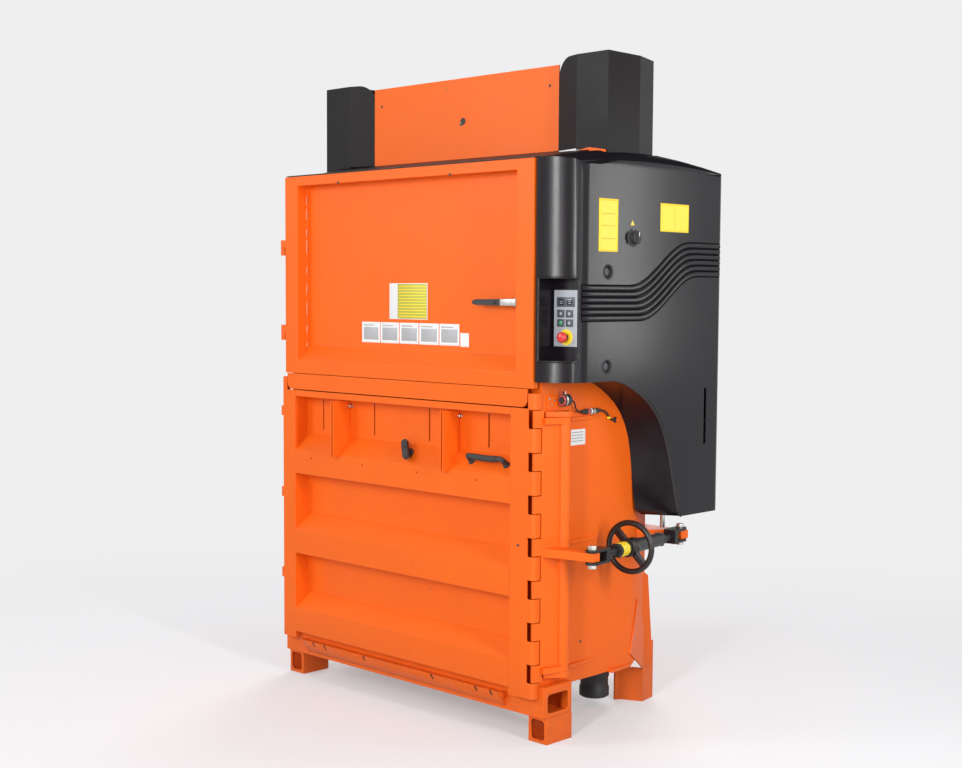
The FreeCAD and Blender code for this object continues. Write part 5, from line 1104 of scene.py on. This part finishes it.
@dataclass
class SideCover(Pieces):
    """The moulded cover with its ribs, wells, switch and plain plates."""

    ribs: int = 6
    rib_pitch: float = 17.0
    rib_radius: float = 7.7
    rib_start: float = 80.0
    rib_end: float = 727.0
    rib_high: float = 285.0
    rib_rise: float = 131.0
    front_y: Pair = (6.0, 70.0)
    front_x: Pair = (562.3, SIDE)
    front_cuts: int = 14
    corner_cuts: int = 6
    front_swell: float = 12.0
    corner: float = 62.0
    pocket_x: Pair = (570.0, 669.5)
    pocket_z: Pair = (79.0, 313.0)
    crown_slope: float = 0.3
    crown_low: float = 600.0
    well: Point = (SIDE, 190.0, 331.0)
    well_drop: float = 269.0
    well_radius: float = 20.0
    switch: Pair = (301.0, 431.0)
    bay: tuple[Pair, ...] = ((0.03, 0.0), (0.12, 0.012), (0.232, 0.047), (0.45, 0.135), (0.649, 0.28), (0.768, 0.482),
            (0.845, 0.70), (0.917, 0.92), (0.952, 0.98), (0.99, 1.0))

    def build(self) -> None:
        """Dresses the cover."""
        b, (x, y, z), r = self.bench, self.well, self.well_radius
        tools = [b.turned("well_tool", [(r, 0), (r, 40)], (x - 20, y, z - drop), Axis.X)
                for drop in (0.0, self.well_drop)]
        cover = b.refine("side_cover", COVER, 1.6, 38, 3, tools, self.swell_front)
        self.darken_crown(cover)
        self.pocket_bead()
        self.wave_ribs()
        drop = [(0, 0, -self.well_drop)]
        cup = [(r + 1.0, -17), (r + 1.0, -3), (r + 2.2, 0.8), (r, 1.3), (r - 1.6, 0.2), (r - 3.0, -12), (1.0, -12.6)]
        b.lathe("screw_wells", cup, self.well, BLACK, Axis.X, 48, smooth=40, copies=drop)
        b.lathe("well_screws", [(10.5, -13), (10.5, -7), (9.2, -5), (5.4, -4.2), (5.0, -6.5), (0.8, -6.5)], self.well,
                PANEL_DARK, Axis.X, 32, smooth=40, copies=drop)
        self.main_switch()
        self.plates()
        b.finish(b.wire("bay_edge", [(SIDE - 3.2, 222 + a * 336, 20 - d * 425) for a, d in self.bay], 3.4, 6, 3),
                RUBBER_AND_NOTCH_SHADE, smooth=50)

    def front(self) -> tuple[float, float, float, float]:
        """Where the flat front face starts and ends, across and back, in mm."""
        return *self.front_x, *self.front_y

    def on_front(self, x: float, y: float) -> bool:
        """Whether a point of the machine in mm lies on the cover's flat front face."""
        x_0, x_1, y_0, y_1 = self.front()
        return x_0 - 0.5 < x < x_1 + 0.5 and abs(y - y_0 - (y_1 - y_0) * (x - x_0) / (x_1 - x_0)) < 0.4

    def corner_reach(self) -> float:
        """How far the rounding of the cover's front corner reaches along each face, in mm."""
        x_0, x_1, y_0, y_1 = self.front()
        return self.corner * math.tan((math.pi / 2 - math.atan2(y_1 - y_0, x_1 - x_0)) / 2)

    def rounded(self, along: float) -> Pair:
        """How a point near the cover's front corner moves when the corner is rounded.

        Args:
            along: Its distance from the corner in mm, negative on the front face.

        Returns:
            The move to the right and to the back, in mm.
        """
        x_0, x_1, y_0, y_1 = self.front()
        slope, reach = math.atan2(y_1 - y_0, x_1 - x_0), self.corner_reach()
        if abs(along) >= reach:
            return 0.0, 0.0
        angle = slope - math.pi / 2 + (math.pi / 2 - slope) * (along / reach + 1) / 2
        here = (x_1, y_1 + along) if along > 0 else (x_1 + along * math.cos(slope), y_1 + along * math.sin(slope))
        there = (x_1 - self.corner + self.corner * math.cos(angle), y_1 + reach + self.corner * math.sin(angle))
        return there[0] - here[0], there[1] - here[1]

    def front_move(self, x: float) -> Pair:
        """How a point of the flat front face moves when the face is swollen and its corner rounded.

        Args:
            x: mm to the right.

        Returns:
            The move to the right and to the back, in mm.
        """
        x_0, x_1, y_0, y_1 = self.front()
        share = (x - x_0) / (x_1 - x_0)
        out, back = self.rounded(-(1 - share) * math.dist((x_0, y_0), (x_1, y_1)))
        return out, back - self.front_swell * 4 * share * (1 - share)

    def swell_front(self, obj: Obj) -> None:
        """Swells the cover's front face and rounds its outer corner.

        Args:
            obj: The cover's copy.
        """
        self.bench.take(obj)
        x_0, x_1, _, y_1 = self.front()
        reach = self.corner_reach()
        bpy.ops.object.mode_set(mode="EDIT")
        bpy.ops.mesh.select_mode(type="FACE")
        cuts = [((x_0 + (x_1 - x_0) * i / self.front_cuts, 0, 0), (1, 0, 0)) for i in range(1, self.front_cuts)]
        cuts += [((0, y_1 + reach * i / self.corner_cuts, 0), (0, 1, 0)) for i in range(1, self.corner_cuts + 1)]
        for place, across in cuts:
            bpy.ops.mesh.select_all(action="DESELECT")
            mesh = bmesh.from_edit_mesh(obj.data)
            for face in mesh.faces:
                spots = [machine(v.co) for v in face.verts]
                face.select_set(all(self.on_front(q.x, q.y) if across[0] else q.x > x_1 - 0.3 for q in spots))
            bmesh.update_edit_mesh(obj.data)
            bpy.ops.mesh.bisect(plane_co=at(*place), plane_no=across)
        mesh = bmesh.from_edit_mesh(obj.data)
        for vert in mesh.verts:
            x, y, _ = machine(vert.co)
            if self.on_front(x, y):
                out, back = self.front_move(x)
            elif x > x_1 - 8 and y < y_1 + reach:
                out, back = self.rounded(max(0.0, y - y_1))
            else:
                continue
            vert.co.x += out / 1000
            vert.co.y += back / 1000
        bmesh.update_edit_mesh(obj.data)
        bpy.ops.object.mode_set(mode="OBJECT")

    def front_point(self, x: float, z: float) -> Point:
        """A point of the swollen and rounded front.

        Args:
            x: mm to the right on the flat face before it is swollen.
            z: Its height.

        Returns:
            The machine point in mm.
        """
        x_0, x_1, y_0, y_1 = self.front()
        out, back = self.front_move(x)
        return x + out, y_0 + (y_1 - y_0) * (x - x_0) / (x_1 - x_0) + back, z

    def pocket_bead(self) -> None:
        """The rounded rim round the control pocket."""
        b, (left, right), (low, high) = self.bench, self.pocket_x, self.pocket_z
        across = [left + (right - left) * i / 9 for i in range(10)]
        top, foot = [self.front_point(x, high) for x in across], [self.front_point(x, low) for x in reversed(across)]
        sides = [self.front_point(right, high + (low - high) * i / 8) for i in (0.4, 1, 2, 3, 4, 5, 6, 7, 7.6)]
        far = [self.front_point(left, low + (high - low) * i / 8) for i in (0.4, 1, 4, 7, 7.6)]
        wires = [b.wire("pocket_bead", top + sides + foot, 3.6, 4, 3),
                b.wire("pocket_bead_left", [foot[-1], *far, top[0]], 3.6, 4, 3)]
        b.finish(b.join("pocket_bead", wires), COVER, smooth=60)

    def darken_crown(self, obj: Obj) -> None:
        """Gives the cover's top faces their duller finish.

        Args:
            obj: The cover's copy.
        """
        obj.data.materials.append(DULL_CROWN_AND_GROOVE_SHADE.make())
        for face in obj.data.polygons:
            if face.normal.z > self.crown_slope and machine(face.center).z > self.crown_low:
                face.material_index = 1

    def wave(self, low: float, step: int, first: float, last: float, sunk: float) -> list[Point]:
        """The control points of one line of the wave on the cover's skin.

        Args:
            low: Its height at the front, mm above the sill.
            step: Its number, from the top.
            first: Where the top one starts to rise, mm back.
            last: Where the top one ends rising.
            sunk: How deep in the skin it lies, in mm.

        Returns:
            The points.
        """
        first, last = first + 8 * step, last + 7 * step
        points = [(y, low) for y in (self.rib_start, 84, 90, 98, 110, 160, first - 60)]
        for i in range(9):
            share = i / 8
            points.append((first - 30 + (last - first + 60) * share,
                    low + self.rib_rise * share * share * (3 - 2 * share)))
        points += [(last + 90, low + self.rib_rise), (self.rib_end, low + self.rib_rise)]
        return [(self.bench.skin("side_cover", y, z) + self.rounded(y - self.front_y[1])[0] - sunk, y, z)
                for y, z in points]

    def wave_ribs(self) -> None:
        """Six rounded ribs that run back from the controls and rise in one wave, and dull dark strips between them that
        are painted shade standing for the grooves.
        """
        b, ribs, grooves = self.bench, [], []
        for i in range(self.ribs):
            line = self.wave(self.rib_high - self.rib_pitch * i, i, 330, 540, 3.0)
            ribs.append(b.round(b.wire(f"wave_rib_{i}", line, self.rib_radius, 7, 4), 3.4, 3, 60))
        # Dull dark strips in the valleys between the ribs: painted shade standing for the depth of the grooves.
        for i in range(self.ribs + 1):
            line = self.wave(self.rib_high - self.rib_pitch * (i - 0.5), i, 326, 536, 0.9)
            grooves.append(b.wire(f"groove_shade_strip_{i}", line, 2.3, 7, 2))
        b.finish(b.join("wave_ribs", ribs), COVER, smooth=50)
        b.finish(b.join("groove_shade_strips", grooves), DULL_CROWN_AND_GROOVE_SHADE, smooth=50)

    def main_switch(self) -> None:
        """The round switch plate and the knob with its grip."""
        b, (y, z) = self.bench, self.switch
        b.lathe("switch_plate", [(27, -0.4), (27, 0.7), (25.5, 1.6), (21, 1.7), (20.2, 1.0), (8.0, 1.0)], (SIDE, y, z),
                BLACK, Axis.X, 56, smooth=40)
        b.refine("main_switch", BLACK, 1.8, 40, 3)
        b.slab("switch_pointer", (SIDE + 22.4, y - 1.6, z + 3), (SIDE + 23.4, y + 1.6, z + 15.5), 0.4, WHITE,
                "main_switch")
        b.slab("switch_ticks", (SIDE + 1.4, y - 1.0, z + 21.8), (SIDE + 2.0, y + 1.0, z + 25.2), 0.2, WHITE)

    def plates(self) -> None:
        """Two plain yellow plates and a small plain triangle."""
        b = self.bench
        for name, low, high in (("tall_yellow_plate", (146.0, 388.0), (231.0, 537.0)),
                ("wide_yellow_plate", (428.0, 453.0), (566.0, 536.0))):
            b.slab(name, (SIDE - 0.4, *low), (SIDE + 0.8, *high), 0.3, YELLOW, panel=(RIGHT, 5.0, -0.25))
        b.slab("tall_plate_bars", (SIDE + 0.4, 158, 460), (SIDE + 0.75, 219, 462), 0.1, PLATE_RULE,
                copies=[(0, 0, -36), (0, 0, 34)])
        b.slab("wide_plate_bar", (SIDE + 0.4, 496, 462), (SIDE + 0.75, 498, 527), 0.1, PLATE_RULE)
        y, z = self.switch[0] - 4, self.switch[1] + 40
        b.lathe("switch_triangle", [(10.0, -0.3), (10.0, 0.5), (9.2, 0.8)], (SIDE, y, z), YELLOW, Axis.X, 3,
                turn=turn_about(90, "X", (0, y, z)))


@dataclass
class Controls(Pieces):
    """The control plate with its display, buttons and stop button."""

    front: float = 61.0
    stop: Pair = (629.0, 147.0)
    stop_bore: float = 9.0
    left: float = 608.0
    right: float = 640.0
    upper: float = 213.0
    lower: float = 187.0

    def build(self) -> None:
        """Dresses the plate and what is on it."""
        self.bench.refine("control_plate", PANEL_GREY)
        self.display()
        self.buttons()
        self.stop_button()

    def display(self) -> None:
        """The dark band with two small windows, and the marks in them."""
        b, f = self.bench, self.front
        b.slab("display_band", (592.5, f - 0.8, 232), (659.0, f + 0.4, 259), 0.6, PANEL_DARK)
        b.slab("display_panes", (600.5, f - 1.4, 237.5), (618.5, f - 0.2, 253.5), 0.5, GLASS_DARK, "frame",
                [(31.0, 0, 0)], (FRONT, 2.2, -0.4))
        b.slab("display_marks", (604.5, f - 1.5, 241), (614.5, f - 0.9, 243), 0.1, PALE_GREY,
                copies=[(0, 0, 6), (31, 0, 0), (31, 0, 6)])

    def buttons(self) -> None:
        """A dark frame round each button, and the buttons' caps."""
        b, f = self.bench, self.front
        for name, x, z, finish, sides in (("button_down", self.left, self.upper, PALE_GREY, 4),
                ("button_up", self.right, self.upper, PALE_GREY, 4), ("button_start", self.left, self.lower, GREEN, 28),
                ("button_return", self.right, self.lower, PALE_GREY, 4)):
            frame = b.block(name + "_frame", (x - 13.5, f - 0.9, z - 10.8), (x + 13.5, f + 0.4, z + 10.8), 0.5)
            b.carve(frame, FRONT, 3.2, -0.6)
            opening = b.block("button_opening", (x - 8.3, f - 3, z - 8.3), (x + 8.3, f + 3, z + 8.3), 0.0)
            b.finish(b.bore(frame, opening), PANEL_DARK)
            b.refine(name, PANEL_DARK, 1.4, 40, 3)
            b.lathe(name + "_mark", [(5.4, 0.4), (5.4, -0.5), (4.4, -0.9), (0.6, -0.9)], (x, f - 2, z), finish,
                    sides=sides, body=name)

    def stop_button(self) -> None:
        """The red mushroom head on its black neck over a yellow disc."""
        b, f, (x, z), r = self.bench, self.front, self.stop, self.stop_bore
        b.lathe("stop_disc", [(22.4, 4.8), (22.4, -2.8), (21.6, -3.6), (r + 1, -3.8), (r, -3.4), (r, 4.6)], (x, f, z),
                YELLOW, sides=56, smooth=40)
        b.lathe("stop_neck", [(r - 1, 0.5), (r - 1, -8.7)], (x, f - 3, z), BLACK, sides=32, body="estop", smooth=40)
        head = b.lathe("stop_head", [(9.0, 0), (13.6, -1.2), (15.0, -3.5), (15.0, -10.0), (14.3, -13.4), (12.2, -15.8),
                (8.5, -17.2), (4.0, -17.9), (0.5, -18.1)], (x, f - 11.6, z), RED, sides=56, body="estop", smooth=60)
        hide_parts("estop_button")


@dataclass
class Roof(Pieces):
    """The dark roof sheets, the hoods and the guard plate."""

    gable_x: Point = (497.0, 560.0, 621.0)
    gable_y: Pair = (230.4, 234.4)
    gable_z: Point = (669.0, 681.0, 691.0)

    def build(self) -> None:
        """Dresses the roof."""
        b = self.bench
        for node in ("hood_left", "hood_right"):
            b.refine(node, DARK_HOOD, 1.8, 12)
        for node in ("roof_front", "roof_rear"):
            b.refine(node, DARK_ROOF, 0.7)
        b.refine("guard_plate", ORANGE)
        b.lathe("guard_hole", [(10.5, 0.4), (10.5, -0.7), (8.6, -1.3), (7.6, -0.6), (7.4, -0.2), (1.0, -0.2)],
                (9, 267, 810), RUBBER_AND_NOTCH_SHADE, sides=36)
        self.gable()
        b.lathe("guard_plugs", [(4.4, 0.3), (4.4, -0.5), (3.4, -0.9), (1.0, -0.5)], (-375, 267, 887), BLACK,
                copies=[(750, 0, 0)])

    def gable(self) -> None:
        """The low orange gable plate at the right hood's foot."""
        (left, peak, right), (front, back), (low, edge, top) = self.gable_x, self.gable_y, self.gable_z
        halves = []
        for name, x_0, x_1 in (("gable_plate", left, peak), ("gable_plate_half", peak, right)):
            half = self.bench.block(name, (x_0, front, low), (x_1, back, top), 0.0)
            for vert in half.data.vertices:
                x, _, z = machine(vert.co)
                if z > edge and abs(x - peak) > 1:
                    vert.co.z -= (top - edge) / 1000
            halves.append(half)
        self.bench.finish(self.bench.join("gable_plate", halves), ORANGE)


@dataclass
class Body(Pieces):
    """The frame, walls, floor, legs and feet."""

    lip_x: Pair = (-470.0, 440.0)
    lip_y: Pair = (-5.0, 26.5)
    lip_z: Pair = (-933.0, -888.0)
    lip_end: float = 2.5
    notches: tuple[float, ...] = (-411, -354, -160, 154.5, 342.5, 404)

    def build(self) -> None:
        """Dresses the frame's plates."""
        b = self.bench
        for node, bevel in (("front_beam", 3.0), ("front_feet", 2.0), ("apron", 1.0), ("front_rails", 0.8),
                ("side_wall_left", 1.0), ("side_wall_right", 1.0), ("rear_wall", 1.0), ("rear_legs", 1.2),
                ("threshold_rail", 0.8)):
            b.refine(node, ORANGE, bevel)
        for side, name in ((1, "right"), (-1, "left")):
            self.window(f"beam_end_{name}", side, ((583.0, 30, -941), (588.4, 144, -857)),
                    ((560.0, 43, -932), (610.0, 133, -877)), 12)
            self.window(f"foot_end_{name}", side, ((521.0, 39.6, -1018), (583.0, 45, -950)),
                    ((526.0, 10, -1013), (578.0, 70, -955)), 11)
        self.under_parts()
        self.threshold_lip()

    def window(self, name: str, side: int, plate: tuple[Point, Point], hole: tuple[Point, Point],
            corner: float) -> None:
        """A plate with a round-cornered window, at the end of the beam or a foot.

        Args:
            name: The piece's name.
            side: 1 to the right, -1 to the left.
            plate: The plate's inner lower and outer upper corner in mm, on the right.
            hole: The same for what cuts the window, past the plate both ways.
            corner: The window's corner radius in mm.
        """
        b, corners = self.bench, []
        for (x_0, *low), (x_1, *high) in (plate, hole):
            x_0, x_1 = sorted((side * x_0, side * x_1))
            corners.append(((x_0, *low), (x_1, *high)))
        piece = b.bore(b.block(name, *corners[0], 0.0), b.block(name + "_tool", *corners[1], corner, 6))
        b.finish(b.round(piece, 1.0), ORANGE)

    def slant(self, piece: Obj, below: float = math.inf) -> Obj:
        """Drops a piece's points toward the beam with the lip's slope.

        Args:
            piece: The piece.
            below: Only points under this height in mm are dropped.

        Returns:
            The same piece.
        """
        (front, back), (low, top) = self.lip_y, self.lip_z
        for vert in piece.data.vertices:
            _, y, z = machine(vert.co)
            if z < below:
                vert.co.z += (low - top) * (y - front) / (back - front) / 1000
        return piece

    def threshold_lip(self) -> None:
        """The folded lip under the doors, with its six strap notches and closed ends."""
        b, (left, right), (front, back), (_, top) = self.bench, self.lip_x, self.lip_y, self.lip_z
        lip = self.slant(b.block("threshold_lip", (left, front, top - 3.0), (right, back, top), 0.0))
        ends = [b.block(f"threshold_end_{i}", (x, front, top - 3.0), (x + self.lip_end, back, top), 0.0)
                for i, x in enumerate((left, right - self.lip_end))]
        shades = []
        for x in self.notches:
            notch = b.block("lip_notch", (x - 4.2, front - 6, top - 12), (x + 4.2, front + 12, top + 6), 0.0)
            b.bore(lip, self.slant(notch))
            # A thin dark sheet over each notch on the lip's top is painted shade.
            shade = b.block("lip_shades", (x - 6, front + 1.5, top + 0.1), (x + 6, front + 16, top + 1.6), 0.0)
            shades.append(self.slant(shade))
        b.round(lip, 0.8)
        b.finish(b.join("threshold_lip", [lip, *(self.slant(end, top - 1) for end in ends)]), ORANGE)
        b.finish(b.join("lip_shades", shades), RUBBER_AND_NOTCH_SHADE)

    def under_parts(self) -> None:
        """The dark buffer under the floor and the bright rod under the cover."""
        b, rod = self.bench, (606, 545, 0)
        buffer = [(40, -912), (47, -916), (47, -930), (44, -936), (44, -960), (47, -966), (47, -992), (42, -996),
                (5, -997)]
        b.lathe("floor_buffer", buffer, (404, 470, 0), RUBBER_AND_NOTCH_SHADE, Axis.Z, 48, smooth=40)
        b.lathe("cover_rod", [(7.5, -398), (7.5, -444), (6.5, -446), (1, -446)], rod, ZINC, Axis.Z, 32, smooth=40)
        b.lathe("cover_rod_nut", [(13, -398), (13, -406), (12, -407), (8, -407)], rod, ZINC, Axis.Z, 6)


def paint_nodes(frame: dict) -> None:
    """Gives every CAD piece its finish by its material slot.
    """
    special = {"hood_left": DARK_HOOD, "hood_right": DARK_HOOD}
    slots = {part["node"]: part["material_slot"] for part in frame["record"]["subparts"]}
    for name, obj in frame["nodes"].items():
        obj.data.materials.clear()
        obj.data.materials.append(special.get(name, SLOT_FINISH[slots[name]]).make())


def main() -> None:
    """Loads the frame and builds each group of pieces."""
    logging.basicConfig(level=logging.INFO, format="%(name)s: %(message)s")
    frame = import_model()
    bench = Bench()
    Studio().build()
    paint_nodes(frame)
    for group in (Body, Roof, FeedDoor, BaleDoor, LockSide, SideCover, Controls):
        log.info("building %s", group.__name__)
        group(bench).build()
    log.info("%d pieces made", bench.made)


if __name__ == "__main__":
    main()
